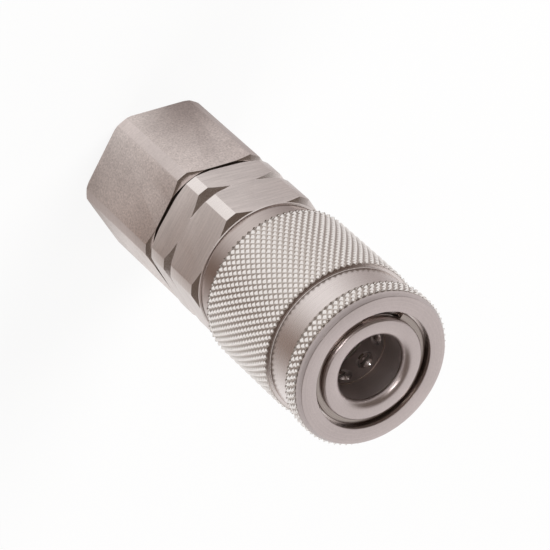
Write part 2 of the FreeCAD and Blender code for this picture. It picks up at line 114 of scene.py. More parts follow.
class CouplingSizes(bpy.types.PropertyGroup):
    """Sizes that the CAD boxes don't give"""

    segments: IntProperty(name="Segments", description="Steps around a turned piece", default=192, min=24)
    edge: length_property("Edge", "Rounding of a turned edge", 0.12 * MM)
    hex_edge: length_property("Hexagon edge", "Rounding of a milled edge", 0.1 * MM)
    flat_depth: length_property("Flat depth", "Depth of a flat below the turned corners", 1.68 * MM)
    end_circle_rise: length_property("End circle rise", "Rise of the end circle above the flats", 0.35 * MM)
    rear_edge: length_property("Rear edge", "Height of the small chamfer at the rear", 0.5 * MM)
    # Reach of the painted shade at the rear end of the flats
    rear_fade: length_property("Rear fade", "Reach of the darker rear end of the flats", 15.3 * MM)
    chamfer_angle: angle_property("Chamfer angle", "Slope of the hexagon chamfers", 30.0)
    adaptor_hex: length_property("Adaptor hexagon", "Length of the rear hexagon", 25.5 * MM)
    adaptor_turn: angle_property("Adaptor turn", "How far the rear hexagon stands off the front one", 2.1)
    body_hex: length_property("Body hexagon", "Length of the front hexagon", 17.3 * MM)
    groove_position: length_property("Groove position", "Middle of the groove from the joint", 7.0 * MM)
    groove_width: length_property("Groove width", "Width of the groove at the corners", 2.7 * MM)
    groove_rise: length_property("Groove rise", "Rise of the groove's floor above the flats", 0.15 * MM)
    groove_edge: length_property("Groove edge", "Rounding of the groove's front edge", 0.72 * MM)
    collar: length_property("Collar", "Radius of the collar in the joint", 13.4 * MM)
    spigot: length_property("Spigot", "Radius of the spigot in the body", 10.9 * MM)
    joint_bore: length_property("Joint bore", "Radius of the bore that takes the spigot", 11.0 * MM)
    flow_bore: length_property("Flow bore", "Radius of the adaptor's flow bore", 5.5 * MM)
    spigot_mouth: length_property("Spigot mouth", "Radius of the spigot's countersink", 7.9 * MM)
    port_depth: length_property("Port depth", "Depth of the threaded port", 16.0 * MM)
    port_edge: length_property("Port edge", "Chamfer at the mouth of the port", 0.27 * MM)
    thread_pitch: length_property("Thread pitch", "Rise of the port thread in one turn", 1.814 * MM)
    thread_depth: length_property("Thread depth", "Depth of the port thread", 1.0 * MM)
    thread_start: share_property("Thread start", "Where the thread begins, in pitches", 0.6)
    rim_step: length_property("Rim step", "Rise of the rim above the neck", 0.3 * MM)
    rim_flat: length_property("Rim flat", "Straight part of the rim", 0.3 * MM)
    rim_length: length_property("Rim length", "Length of the rim", 0.4 * MM)
    neck: length_property("Neck", "Radius of the neck behind the sleeve", 15.1 * MM)
    tube: length_property("Tube", "Radius of the body inside the spring", 11.8 * MM)
    tube_length: length_property("Tube length", "Length of the body inside the spring", 11.0 * MM)
    skirt_overlap: length_property("Skirt overlap", "Length of the neck that the sleeve covers", 3.0 * MM)
    nose: length_property("Nose", "Radius of the nose", 10.9 * MM)
    nose_edge: length_property("Nose edge", "Chamfer of the nose's outer edge", 0.25 * MM)
    ring_groove: length_property("Ring groove", "Depth of the stop ring's groove", 0.7 * MM)
    ring_edge: length_property("Ring edge", "Rounding of the stop ring's edges", 0.24 * MM)
    ring_gap: angle_property("Ring gap", "Opening of the stop ring", 46.0)
    ring_turn: angle_property("Ring turn", "Where the stop ring is open", -40.0)
    mouth_round: length_property("Mouth rounding", "Rounding of the bore's mouth", 1.75 * MM)
    mouth_length: length_property("Mouth length", "Depth of the bore's mouth", 7.4 * MM)
    plug_bore: length_property("Plug bore", "Radius of the bore behind the mouth", 6.95 * MM)
    plug_bore_length: length_property("Plug bore length", "Length of the bore behind the mouth", 12.7 * MM)
    throat: length_property("Throat", "Radius of the valve throat", 4.6 * MM)
    throat_length: length_property("Throat length", "Length of the valve throat", 1.6 * MM)
    chamber: length_property("Chamber", "Radius of the valve chamber", 8.2 * MM)
    guide_thickness: length_property("Guide thickness", "Room for the valve guide", 2.5 * MM)
    ball_hole_play: length_property("Ball hole play", "Play of a ball in its hole", 0.1 * MM)
    ball_lip: length_property("Ball lip", "How far a lip reaches under its ball", 0.4 * MM)
    ball_lip_depth: length_property("Ball lip depth", "Where the lips begin, from the axis", 7.35 * MM)
    knurl_depth: length_property("Knurl depth", "Height of a knurl tooth", 0.42 * MM)
    knurl_sink: length_property("Knurl sink", "How far a tooth's foot reaches into the sleeve", 0.084 * MM)
    knurl_row: length_property("Knurl row", "Distance between rows of teeth", 1.0 * MM)
    knurl_count: IntProperty(name="Knurl count", description="Teeth in a row", default=76, min=8)
    knurl_crest: share_property("Knurl crest", "Share of a tooth left flat", 0.12)
    core_rise: length_property("Core rise", "Rise of the sleeve's core above the knurl's floor", 0.012 * MM)
    band_step: length_property("Band step", "Depth of the band below the knurls", 1.1 * MM)
    tool_nose: length_property("Tool nose", "Rounding left in the band's rear corner", 0.3 * MM)
    band_length: length_property("Band length", "Length of the band", 7.4 * MM)
    front_knurl: length_property("Front knurl", "Length of the front knurl", 3.1 * MM)
    face_chamfer: length_property("Face chamfer", "Length of the front chamfer", 1.3 * MM)
    face_step: length_property("Face step", "Height of the front chamfer", 1.0 * MM)
    recess: length_property("Recess", "Radius of the recess around the nose", 12.7 * MM)
    recess_play: length_property("Recess play", "Gap behind the stop ring", 0.1 * MM)
    land: length_property("Land", "Radius of the land over the balls", 11.1 * MM)
    release: length_property("Release groove", "Radius of the groove that frees the balls", 12.1 * MM)
    release_start: length_property("Release start", "Start of the ramp, from the balls", 0.7 * MM)
    release_ramp: length_property("Release ramp", "Length of the ramp", 1.5 * MM)
    release_end: length_property("Release end", "End of the groove, from the balls", 6.36 * MM)
    skirt: length_property("Skirt", "Inner radius of the sleeve's skirt", 15.35 * MM)
    skirt_lead: length_property("Skirt lead", "Lead-in of the skirt", 0.5 * MM)
    spring_wire: length_property("Sleeve wire", "Wire radius of the sleeve spring", 0.85 * MM)
    spring_turns: number_property("Sleeve spring turns", "Turns of the sleeve spring", 4.5)
    valve_wire: length_property("Valve wire", "Wire radius of the valve spring", 0.6 * MM)
    valve_turns: number_property("Valve spring turns", "Turns of the valve spring", 5.5)


class CouplingColours(bpy.types.PropertyGroup):
    """Colours of the finishes"""

    blasted: colour_property("Blasted", "Blasted flats of the adaptor", (0.86, 0.755, 0.715))
    milled: colour_property("Milled", "Milled flats of the body", (0.83, 0.75, 0.72))
    worn_strip: colour_property("Worn strip", "Turned corners of the adaptor", (0.73, 0.64, 0.61))
    strip: colour_property("Strip", "Bright turned corners of the body", (0.87, 0.80, 0.77))
    turned: colour_property("Turned", "Turned faces", (0.80, 0.725, 0.70))
    # The neck colour is a darker copy of the turned colour: painted shade below the sleeve
    neck: colour_property("Neck", "Neck behind the sleeve", (0.60, 0.52, 0.49))
    face: colour_property("Face", "Front faces", (0.68, 0.59, 0.575))
    # Painted shade for the faces inside the joint and the bore's step ring
    gap: colour_property("Gap", "Faces inside the joint", (0.30, 0.24, 0.205))
    knurl: colour_property("Knurl", "Bright sides of the knurl", (0.93, 0.88, 0.85))
    # Painted shade: a darker knurl colour for the sides that face rearwards, towards the floor
    knurl_painted_shade_colour: colour_property("Knurl rear", "Dull sides of the knurl", (0.52, 0.465, 0.43))
    # Painted shade in the knurl's pits
    pit_painted_shade: colour_property("Pit", "Floor of the knurl", (0.55, 0.49, 0.45))
    ring: colour_property("Ring", "Stop ring", (0.42, 0.36, 0.33))
    bore: colour_property("Bore", "Oiled bore", (0.76, 0.685, 0.67))
    chrome: colour_property("Chrome", "Balls", (0.90, 0.87, 0.86))
    spring: colour_property("Spring", "Springs", (0.33, 0.32, 0.31))
    brass: colour_property("Brass", "Valve guide", (0.66, 0.47, 0.22))
    rubber: colour_property("Rubber", "Seals", (0.018, 0.018, 0.02))
    plastic: colour_property("Plastic", "Backup rings", (0.70, 0.68, 0.62))
    floor: colour_property("Floor", "Floor", (0.98, 0.98, 0.98))
    roof: colour_property("Roof", "Dark roof of the room", (0.14, 0.11, 0.09))
    deep_shade: colour_property("Deep shade", "Mirrored floor on the shaded side", (0.195, 0.125, 0.09))
    foot_shade: colour_property("Foot shade", "Mirrored floor at the part's foot", (0.40, 0.36, 0.35))
    soft_shade: colour_property("Soft shade", "Mirrored floor on the other side", (0.41, 0.365, 0.36))


class CouplingStage(bpy.types.PropertyGroup):
    """Camera and light"""

    view_tilt: angle_property("View tilt", "Angle between the view and the axis", 43.95)
    view_roll: angle_property("View roll", "Slant of the axis in the picture", 42.54)
    view_turn: angle_property("View turn", "Turn of the part under the camera", 11.2)
    view_distance: length_property("View distance", "Depth of the front face below the camera", 761.79 * MM)
    view_right: length_property("View right", "Front face to the right of the picture's middle", 18.71 * MM)
    view_down: length_property("View down", "Front face below the picture's middle", 18.13 * MM)
    focal_share: number_property("Focal share", "Focal length over picture width", 4022 / 550)
    world_light: number_property("World light", "Strength of the room", 0.95)
    roof_start: angle_property("Roof start", "Height at which the dark roof begins", 19.0)
    roof_full: angle_property("Roof full", "Height at which the roof is fully dark", 30.0)
    roof_sink: share_property("Roof sink", "How far the roof reaches down at the sides", 0.2)
    opening_start: share_property("Opening start", "Where the roof begins to open behind the part", 0.35)
    opening_full: share_property("Opening full", "Where the roof is fully open", 0.6)
    floor_reach: length_property("Floor reach", "From the floor's middle to its edge", 3.0)
    floor_drop: length_property("Floor drop", "Gap between the part and the floor", 0.05 * MM)
    floor_glow: share_property("Floor glow", "Share of white in the floor that is seen directly", 0.88)
    deep_turn: angle_property("Deep turn", "Middle of the floor's deep shade", 61.0)
    deep_spread: angle_property("Deep spread", "Half width of the deep shade", 72.0)
    soft_turn: angle_property("Soft turn", "Middle of the floor's soft shade", -91.0)
    soft_spread: angle_property("Soft spread", "Half width of the soft shade", 75.0)
    shade_beside: share_property("Shade beside", "Strength of the floor's shade beside the part", 0.55)
    shade_inner: length_property("Shade inner", "Where the floor's shade begins to deepen", 0.02)
    shade_full: length_property("Shade full", "Where the floor's shade is full", 0.06)
    shade_near: length_property("Shade near", "Reach of the full shade on the floor", 0.10)
    shade_far: length_property("Shade far", "Where the floor is white again", 0.22)
    foot_turn: angle_property("Foot turn", "Middle of the shade at the part's foot", -52.0)
    foot_spread: angle_property("Foot spread", "Half width of the foot's shade", 52.0)
    foot_near: length_property("Foot near", "Reach of the foot's full shade", 0.016)
    foot_far: length_property("Foot far", "Where the foot's shade ends", 0.036)
    lamp_distance: length_property("Lamp distance", "From the soft lamps to the part", 0.9)
    lamp_size: length_property("Lamp size", "Width of a soft lamp", 0.6)
    key_turn: angle_property("Key turn", "Direction of the main lamp", -75.0)
    key_height: angle_property("Key height", "Height of the main lamp", 28.0)
    key_power: power_property("Key power", "Main lamp", 7.0)
    fill_turn: angle_property("Fill turn", "Direction of the second lamp", 120.0)
    fill_height: angle_property("Fill height", "Height of the second lamp", 40.0)
    fill_power: power_property("Fill power", "Second lamp", 3.0)
    glint_turn: angle_property("Glint turn", "Direction of the narrow lamp", 18.0)
    glint_height: angle_property("Glint height", "Height of the narrow lamp", 45.0)
    glint_distance: length_property("Glint distance", "From the narrow lamp to the bore", 0.4)
    glint_cone: angle_property("Glint cone", "Width of the narrow lamp's cone", 3.0)
    glint_size: length_property("Glint size", "Radius of the narrow lamp", 0.006)
    glint_power: power_property("Glint power", "Narrow lamp", 1.5)


def sizes():
    return bpy.context.scene.coupling_sizes


def colours():
    return bpy.context.scene.coupling_colours


def stage_values():
    return bpy.context.scene.coupling_stage


# Node trees

def add_node(tree, kind, inputs=None, **settings):
    """Adds a node, and sets or links its inputs by name or place."""
    made = tree.nodes.new(kind)
    for key, value in settings.items():
        setattr(made, key, value)
    for key, value in (inputs or {}).items():
        if isinstance(value, bpy.types.NodeSocket):
            tree.links.new(value, made.inputs[key])
        else:
            made.inputs[key].default_value = value
    return made


def math_node(tree, operation, *values):
    return add_node(tree, "ShaderNodeMath", dict(enumerate(values)), operation=operation).outputs[0]


def vector_node(tree, x=0.0, y=0.0, z=0.0):
    return add_node(tree, "ShaderNodeCombineXYZ", {"X": x, "Y": y, "Z": z}).outputs[0]


def parts_of(tree, vector):
    return add_node(tree, "ShaderNodeSeparateXYZ", {0: vector}).outputs


def length_node(tree, vector):
    return add_node(tree, "ShaderNodeVectorMath", {0: vector}, operation="LENGTH").outputs["Value"]


def map_range(tree, value, from_min=0.0, from_max=1.0, to_min=0.0, to_max=1.0, kind="LINEAR"):
    """Carries a value from one range to another."""
    return add_node(tree, "ShaderNodeMapRange", {
        "Value": value, "From Min": from_min, "From Max": from_max, "To Min": to_min, "To Max": to_max},
        interpolation_type=kind).outputs[0]


def new_group(name, kind, inputs, outputs):
    """Starts a node group with named sockets and returns it with its input sockets and output node."""
    tree = bpy.data.node_groups.new(name, kind)
    for label, socket_type, default in inputs:
        socket = tree.interface.new_socket(name=label, in_out="INPUT", socket_type=socket_type)
        if default is not None:
            socket.default_value = default
    for label, socket_type in outputs:
        tree.interface.new_socket(name=label, in_out="OUTPUT", socket_type=socket_type)
    return tree, tree.nodes.new("NodeGroupInput").outputs, tree.nodes.new("NodeGroupOutput")


FLOAT = "NodeSocketFloat"
WHOLE = "NodeSocketInt"
GEOMETRY = "NodeSocketGeometry"
MATERIAL = "NodeSocketMaterial"
CLOUDS_PER_METRE = 90.0


def round_axis(tree):
    """A point's height along the axis, its place across the axis and its distance from the axis."""
    parts = parts_of(tree, add_node(tree, "ShaderNodeTexCoord").outputs["Object"])
    across = vector_node(tree, parts["X"], parts["Y"])
    return parts["Z"], across, length_node(tree, across)


def axis_lines_group():
    """Fine lines left by a tool: rings on a turned face, or streaks across a milled flat."""
    tree, given, out = new_group(
        "axis_lines", "ShaderNodeTree",
        [("Lines per metre", FLOAT, 4000.0), ("Radius share", FLOAT, 1.0), ("Break up", FLOAT, 0.0)],
        [("Lines", FLOAT)])
    height, across, radius = round_axis(tree)
    run = math_node(tree, "MULTIPLY_ADD", radius, given["Radius share"], height)
    stretched = add_node(tree, "ShaderNodeVectorMath", {0: across, "Scale": given["Break up"]},
                         operation="SCALE").outputs["Vector"]
    spread = parts_of(tree, stretched)
    lines = math_node(tree, "MULTIPLY", run, given["Lines per metre"])
    noise = add_node(tree, "ShaderNodeTexNoise", {
        "Vector": vector_node(tree, spread["X"], spread["Y"], lines), "Scale": 1.0, "Detail": 3.0,
        "Roughness": 0.6})
    tree.links.new(noise.outputs["Fac"], out.inputs["Lines"])


def speckle_group():
    """Pitted grain of a blasted or satin surface, and a soft cloud of tone."""
    tree, given, out = new_group(
        "speckle", "ShaderNodeTree",
        [("Grains per metre", FLOAT, 3000.0), ("Sharpness", FLOAT, 0.5)],
        [("Grain", FLOAT), ("Cloud", FLOAT)])
    point = add_node(tree, "ShaderNodeTexCoord").outputs["Object"]
    grain = add_node(tree, "ShaderNodeTexNoise", {
        "Vector": point, "Scale": given["Grains per metre"], "Detail": 2.0, "Roughness": 0.5})
    low = math_node(tree, "MULTIPLY", given["Sharpness"], 0.5)
    high = math_node(tree, "SUBTRACT", 1.0, low)
    cloud = add_node(tree, "ShaderNodeTexNoise", {
        "Vector": point, "Scale": CLOUDS_PER_METRE, "Detail": 2.0})
    tree.links.new(map_range(tree, grain.outputs["Fac"], low, high), out.inputs["Grain"])
    tree.links.new(cloud.outputs["Fac"], out.inputs["Cloud"])


def coil_group():
    """A rod wound about the Z axis: a spring, or the ridge of a thread."""
    tree, given, out = new_group(
        "coil", "GeometryNodeTree",
        [("Geometry", GEOMETRY, None), ("Radius", FLOAT, 0.01), ("Start", FLOAT, 0.0),
         ("Height", FLOAT, 0.01), ("Turns", FLOAT, 4.0), ("Steps per turn", WHOLE, 48),
         ("Section radial", FLOAT, 0.001), ("Section axial", FLOAT, 0.001), ("Section sides", WHOLE, 12),
         ("Material", MATERIAL, None)],
        [("Geometry", GEOMETRY)])
    spiral = add_node(tree, "GeometryNodeCurveSpiral", {
        "Resolution": given["Steps per turn"], "Rotations": given["Turns"], "Start Radius": given["Radius"],
        "End Radius": given["Radius"], "Height": given["Height"]})
    upright = add_node(tree, "GeometryNodeSetCurveNormal", {"Curve": spiral.outputs[0]}, mode="Z_UP")
    circle = add_node(tree, "GeometryNodeCurvePrimitiveCircle", {
        "Resolution": given["Section sides"], "Radius": 1.0})
    section = add_node(tree, "GeometryNodeTransform", {
        "Geometry": circle.outputs[0],
        "Scale": vector_node(tree, given["Section axial"], given["Section radial"], 1.0)})
    rod = add_node(tree, "GeometryNodeCurveToMesh", {
        "Curve": upright.outputs[0], "Profile Curve": section.outputs[0], "Fill Caps": True})
    lifted = add_node(tree, "GeometryNodeTransform", {
        "Geometry": rod.outputs[0], "Translation": vector_node(tree, z=given["Start"])})
    real = add_node(tree, "GeometryNodeRealizeInstances", {0: lifted.outputs[0]})
    painted = add_node(tree, "GeometryNodeSetMaterial", {
        "Geometry": real.outputs[0], "Material": given["Material"]})
    tree.links.new(painted.outputs[0], out.inputs[0])


def knurl_group():
    """Rows of cut-off diamond teeth, laid flat, bent around the Z axis and trimmed at both ends."""
    tree, given, out = new_group(
        "knurl", "GeometryNodeTree",
        [("Geometry", GEOMETRY, None), ("Root radius", FLOAT, 0.016), ("Tooth height", FLOAT, 0.0004),
         ("Root sink", FLOAT, 0.00002), ("Crest share", FLOAT, 0.3), ("Teeth", WHOLE, 76),
         ("Row step", FLOAT, 0.001), ("Rows", WHOLE, 20), ("First row", FLOAT, 0.0),
         ("Rows before", WHOLE, 0), ("Low end", FLOAT, 0.0), ("High end", FLOAT, 0.02),
         ("Material", MATERIAL, None)],
        [("Geometry", GEOMETRY)])
    around = math_node(tree, "MULTIPLY", given["Root radius"], FULL_TURN)
    pitch = math_node(tree, "DIVIDE", around, given["Teeth"])
    index = add_node(tree, "GeometryNodeInputIndex").outputs[0]
    column = math_node(tree, "MODULO", index, given["Teeth"])
    row = math_node(tree, "FLOOR", math_node(tree, "DIVIDE", index, given["Teeth"]))
    odd = math_node(tree, "MODULO", math_node(tree, "ADD", row, given["Rows before"]), 2.0)
    across = math_node(tree, "MULTIPLY", math_node(tree, "MULTIPLY_ADD", odd, 0.5, column), pitch)
    up = math_node(tree, "MULTIPLY_ADD", row, given["Row step"], given["First row"])
    count = math_node(tree, "MULTIPLY", given["Teeth"], given["Rows"])
    points = add_node(tree, "GeometryNodePoints", {"Count": count, "Position": vector_node(tree, across, up)})
    full = math_node(tree, "ADD", given["Tooth height"], given["Root sink"])
    tooth = add_node(tree, "GeometryNodeMeshCone", {
        "Vertices": 4, "Side Segments": 2, "Fill Segments": 1, "Radius Top": given["Crest share"],
        "Radius Bottom": 1.0, "Depth": full}, fill_type="NGON")
    half_pitch = math_node(tree, "MULTIPLY", pitch, 0.5)
    drop = math_node(tree, "MULTIPLY", given["Root sink"], -1.0)
    diamond = add_node(tree, "GeometryNodeTransform", {
        "Geometry": tooth.outputs["Mesh"], "Translation": vector_node(tree, z=drop),
        "Scale": vector_node(tree, half_pitch, given["Row step"], 1.0)})
    rows = add_node(tree, "GeometryNodeInstanceOnPoints", {
        "Points": points.outputs[0], "Instance": diamond.outputs[0]})
    flat = add_node(tree, "GeometryNodeRealizeInstances", {0: rows.outputs[0]})
    parts = parts_of(tree, add_node(tree, "GeometryNodeInputPosition").outputs[0])
    angle = math_node(tree, "DIVIDE", parts["X"], given["Root radius"])
    radius = math_node(tree, "ADD", given["Root radius"], parts["Z"])
    trimmed = add_node(tree, "ShaderNodeClamp", {
        "Value": parts["Y"], "Min": given["Low end"], "Max": given["High end"]})
    bent_x = math_node(tree, "MULTIPLY", radius, math_node(tree, "COSINE", angle))
    bent_y = math_node(tree, "MULTIPLY", radius, math_node(tree, "SINE", angle))
    wrapped = add_node(tree, "GeometryNodeSetPosition", {
        "Geometry": flat.outputs[0], "Position": vector_node(tree, bent_x, bent_y, trimmed.outputs[0])})
    painted = add_node(tree, "GeometryNodeSetMaterial", {
        "Geometry": wrapped.outputs[0], "Material": given["Material"]})
    tree.links.new(painted.outputs[0], out.inputs[0])


GROUPS = {"axis_lines": axis_lines_group, "speckle": speckle_group, "coil": coil_group, "knurl": knurl_group}


def shared_group(name):
    """Returns a node group by its name, built on first use."""
    if name not in bpy.data.node_groups:
        GROUPS[name]()
    return bpy.data.node_groups[name]


# Finishes

NOISE_LOW = 0.25
NOISE_HIGH = 0.75
ROUGHNESS_SWING = 0.15
BUMP_HEIGHT = 0.05 * MM


def new_material(name):
    """Starts a material and returns it with its node tree and its shader."""
    material = bpy.data.materials.new(name)
    material.use_nodes = True
    tree = material.node_tree
    return material, tree, tree.nodes["Principled BSDF"]


def dress(tree, shader, colour, rough, height, bump, metallic):
    """Gives a shader its colour, its roughness and a fine relief."""
    tree.links.new(colour, shader.inputs["Base Color"])
    tree.links.new(rough, shader.inputs["Roughness"])
    relief = add_node(tree, "ShaderNodeBump", {"Height": height, "Strength": bump, "Distance": BUMP_HEIGHT})
    tree.links.new(relief.outputs[0], shader.inputs["Normal"])
    shader.inputs["Metallic"].default_value = metallic


def mixed_colour(tree, factor, low, high):
    mix = add_node(tree, "ShaderNodeMix", {"Factor": factor}, data_type="RGBA")
    for socket, value in ((mix.inputs[6], low), (mix.inputs[7], high)):
        if isinstance(value, bpy.types.NodeSocket):
            tree.links.new(value, socket)
        else:
            socket.default_value = (*value, 1.0)
    return mix.outputs[2]


def shade(colour, share):
    return tuple(channel * share for channel in colour)


def ranged(tree, value, low, high):
    """Spreads a noise, which keeps near its middle, over a range."""
    return map_range(tree, value, NOISE_LOW, NOISE_HIGH, low, high)


def machined_metal(name, colour, roughness, lines, line_shade, bump, tone=1.0, radius_share=1.0, break_up=0.0,
                   grains=2500.0, grain_shade=1.0, cloud=0.05, rear_shade=1.0, metallic=1.0):
    """A surface with tool lines, grain and a soft change of tone, and painted shade that darkens the rear by
    rear_shade.
    """
    material, tree, shader = new_material(name)
    tool = add_node(tree, "ShaderNodeGroup", {
        "Lines per metre": lines, "Radius share": radius_share, "Break up": break_up},
        node_tree=shared_group("axis_lines")).outputs["Lines"]
    speckle = add_node(tree, "ShaderNodeGroup", {"Grains per metre": grains},
                       node_tree=shared_group("speckle")).outputs
    lined = ranged(tree, tool, line_shade, 1.0)
    grained = math_node(tree, "MULTIPLY_ADD", speckle["Grain"], 1.0 - grain_shade, grain_shade)
    clouded = ranged(tree, speckle["Cloud"], 1.0 - cloud, 1.0 + cloud)
    value = math_node(tree, "MULTIPLY", math_node(tree, "MULTIPLY", lined, grained), clouded)
    # Painted shade: darker towards the rear end, fading out by rear_fade
    if rear_shade < 1.0:
        point = add_node(tree, "ShaderNodeTexCoord").outputs["Object"]
        fade = map_range(tree, parts_of(tree, point)["Z"], from_max=sizes().rear_fade, to_min=rear_shade,
                         kind="SMOOTHSTEP")
        value = math_node(tree, "MULTIPLY", value, fade)
    base = (*shade(getattr(colours(), colour), tone), 1.0)
    toned = add_node(tree, "ShaderNodeHueSaturation", {"Value": value, "Color": base}).outputs[0]
    rough = ranged(tree, tool, roughness * (1.0 + ROUGHNESS_SWING), roughness * (1.0 - ROUGHNESS_SWING))
    height = math_node(tree, "ADD", tool, speckle["Grain"])
    dress(tree, shader, toned, rough, height, bump, metallic)
    return material


def knurl_steel(name, colour, grains=2600.0, grain_shade=0.86, pit_share=0.2, pit_roughness=0.4,
                crest_roughness=0.24, bump=0.1):
    """Steel with painted shade towards the floor of the knurl, by the distance from the axis."""
    material, tree, shader = new_material(name)
    depth = sizes().knurl_depth
    root = reach("sleeve") - depth
    radius = round_axis(tree)[2]
    # rise is 0 at the knurl's floor and 1 above it: it mixes in the painted shade of the pits and sets the
    # roughness
    rise = map_range(tree, radius, root, root + depth * pit_share, kind="SMOOTHSTEP")
    grain = add_node(tree, "ShaderNodeGroup", {"Grains per metre": grains},
                     node_tree=shared_group("speckle")).outputs["Grain"]
    bright = tuple(getattr(colours(), colour))
    side = mixed_colour(tree, grain, shade(bright, grain_shade), bright)
    toned = mixed_colour(tree, rise, tuple(colours().pit_painted_shade), side)
    rough = map_range(tree, rise, to_min=pit_roughness, to_max=crest_roughness)
    dress(tree, shader, toned, rough, grain, bump, 1.0)
    return material


# The knurl's rear-facing sides take a darker copy of its finish, painted shade
KNURLS = {"knurl_bright": "knurl", "knurl_dull": "knurl_painted_shade_colour"}

FINISHES = {
    # The blasted flats' rear_shade is painted shade at their rear end
    "blasted_flat": dict(colour="blasted", roughness=0.36, lines=300.0, line_shade=0.9, bump=0.3,
                         grains=2600.0, grain_shade=0.66, cloud=0.07, radius_share=0.0, break_up=200.0,
                         rear_shade=0.84),
    "milled_flat": dict(colour="milled", roughness=0.4, lines=2500.0, line_shade=0.78, bump=0.2,
                        grains=2600.0, grain_shade=0.92, radius_share=0.0, break_up=160.0),
    "worn_strip": dict(colour="worn_strip", roughness=0.34, lines=3200.0, line_shade=0.84, bump=0.1,
                       grains=2300.0, grain_shade=0.88, cloud=0.08),
    "bright_strip": dict(colour="strip", roughness=0.28, lines=3600.0, line_shade=0.86, bump=0.08),
    "turned_steel": dict(colour="turned", roughness=0.26, lines=3600.0, line_shade=0.86, bump=0.08),
    # The neck's darker finish is painted shade
    "turned_neck": dict(colour="neck", roughness=0.2, lines=3600.0, line_shade=0.8, bump=0.08),
    "turned_face": dict(colour="face", roughness=0.38, lines=4200.0, line_shade=0.84, bump=0.1, grains=3000.0,
                        grain_shade=0.9),
    # The front chamfer: the face colour darkened by tone, painted shade
    "turned_chamfer": dict(colour="face", tone=0.78, roughness=0.36, lines=4200.0, line_shade=0.84, bump=0.1,
                           grains=3000.0, grain_shade=0.9),
    # Dark faces in the joint and at the bore's step: painted shade
    "gap_steel": dict(colour="gap", roughness=0.5, lines=2500.0, line_shade=0.8, bump=0.06),
    "oiled_bore": dict(colour="bore", roughness=0.48, lines=4000.0, line_shade=0.85, bump=0.06),
    "ring_finish": dict(colour="ring", roughness=0.28, lines=3000.0, line_shade=0.8, bump=0.06),
    "ball_chrome": dict(colour="chrome", roughness=0.14, lines=300.0, line_shade=0.97, bump=0.01,
                        grains=1500.0, grain_shade=0.94),
    "spring_wire": dict(colour="spring", roughness=0.33, lines=700.0, line_shade=0.85, bump=0.06,
                        grains=2600.0, grain_shade=0.75),
    "guide_finish": dict(colour="brass", roughness=0.3, lines=4200.0, line_shade=0.8, bump=0.08),
    "seal_finish": dict(colour="rubber", roughness=0.55, lines=500.0, line_shade=0.8, bump=0.1, grains=2200.0,
                        grain_shade=0.6, metallic=0.0),
    "backup_finish": dict(colour="plastic", roughness=0.42, lines=2500.0, line_shade=0.93, bump=0.05,
                          grains=1800.0, grain_shade=0.93, metallic=0.0),
}


def finish(name):
    """Returns a finish by its name, made on first use."""
    if name in bpy.data.materials:
        return bpy.data.materials[name]
    if name in KNURLS:
        return knurl_steel(name, KNURLS[name])
    return machined_metal(name, **FINISHES[name])


# Meshes

ARC_STEP = math.radians(15)
SHARP = math.radians(20)
EDGE_SHARE = 0.45
MERGE = 1e-8
WELD = 1e-7
DRILL_STEPS = 48
BALL_STEPS = 32
THREAD_STEPS = 96
THREAD_SIDES = 4
WIRE_STEPS = 48
WIRE_SIDES = 14

# The Z of a face's normal tells which way it looks, and its distance from a flat whether it lies there
UPRIGHT = 0.05
FORWARD = 0.9
SLOPING = 0.3
BACKWARD = -0.1
ON_FLAT = 1e-5
NEW_CUT_UPRIGHT = 0.01
NEW_CUT_ON_FLAT = 1e-6


def round_corners(corners, radius):
    """Replaces each corner of a closed outline of (radius, height, rounding) by an arc."""
    points = []
    count = len(corners)
    for index, corner in enumerate(corners):
        here = Vector(corner[:2])
        before = Vector(corners[index - 1][:2]) - here
        after = Vector(corners[(index + 1) % count][:2]) - here
        rounding = corner[2] if len(corner) > 2 else radius
        turn = math.pi - before.angle(after)
        run = min(rounding * math.tan(turn / 2), before.length * EDGE_SHARE, after.length * EDGE_SHARE)
        if run < WELD:
            points.append(here)
            continue
        start = here + before.normalized() * run
        end = here + after.normalized() * run
        middle = (before.normalized() + after.normalized()).normalized()
        centre = here + middle * (run / math.tan(turn / 2) / math.cos(turn / 2))
        arm = start - centre
        swing = arm.angle_signed(end - centre)
        steps = max(1, round(abs(swing) / ARC_STEP))
        for step in range(steps + 1):
            points.append(centre + Matrix.Rotation(-swing * step / steps, 2) @ arm)
    return points


def lathe(points, segments, start=0.0, sweep=FULL_TURN):
    """Turns a closed outline about the Z axis."""
    mesh = bmesh.new()
    whole = sweep >= FULL_TURN
    rings = []
    for step in range(segments if whole else segments + 1):
        angle = start + sweep * step / segments
        rings.append([mesh.verts.new((p[0] * math.cos(angle), p[0] * math.sin(angle), p[1])) for p in points])
    for step in range(segments):
        here = rings[step]
        there = rings[(step + 1) % len(rings)]
        for index in range(len(points)):
            following = (index + 1) % len(points)
            mesh.faces.new((here[index], here[following], there[following], there[index]))
    if not whole:
        mesh.faces.new(rings[0])
        mesh.faces.new(reversed(rings[-1]))
    bmesh.ops.remove_doubles(mesh, verts=mesh.verts, dist=MERGE)
    close_up(mesh)
    return mesh


def close_up(mesh):
    """Takes out faces without area and turns the others outwards."""
    bmesh.ops.dissolve_degenerate(mesh, edges=mesh.edges, dist=MERGE)
    bmesh.ops.recalc_face_normals(mesh, faces=mesh.faces)


def new_object(name, mesh):
    """Makes a bmesh an object at the origin."""
    data = bpy.data.meshes.new(name)
    mesh.to_mesh(data)
    mesh.free()
    made = bpy.data.objects.new(name, data)
    bpy.context.scene.collection.objects.link(made)
    return made


def smooth(piece):
    piece.data.polygons.foreach_set("use_smooth", [True] * len(piece.data.polygons))
    piece.data.set_sharp_from_angle(angle=SHARP)


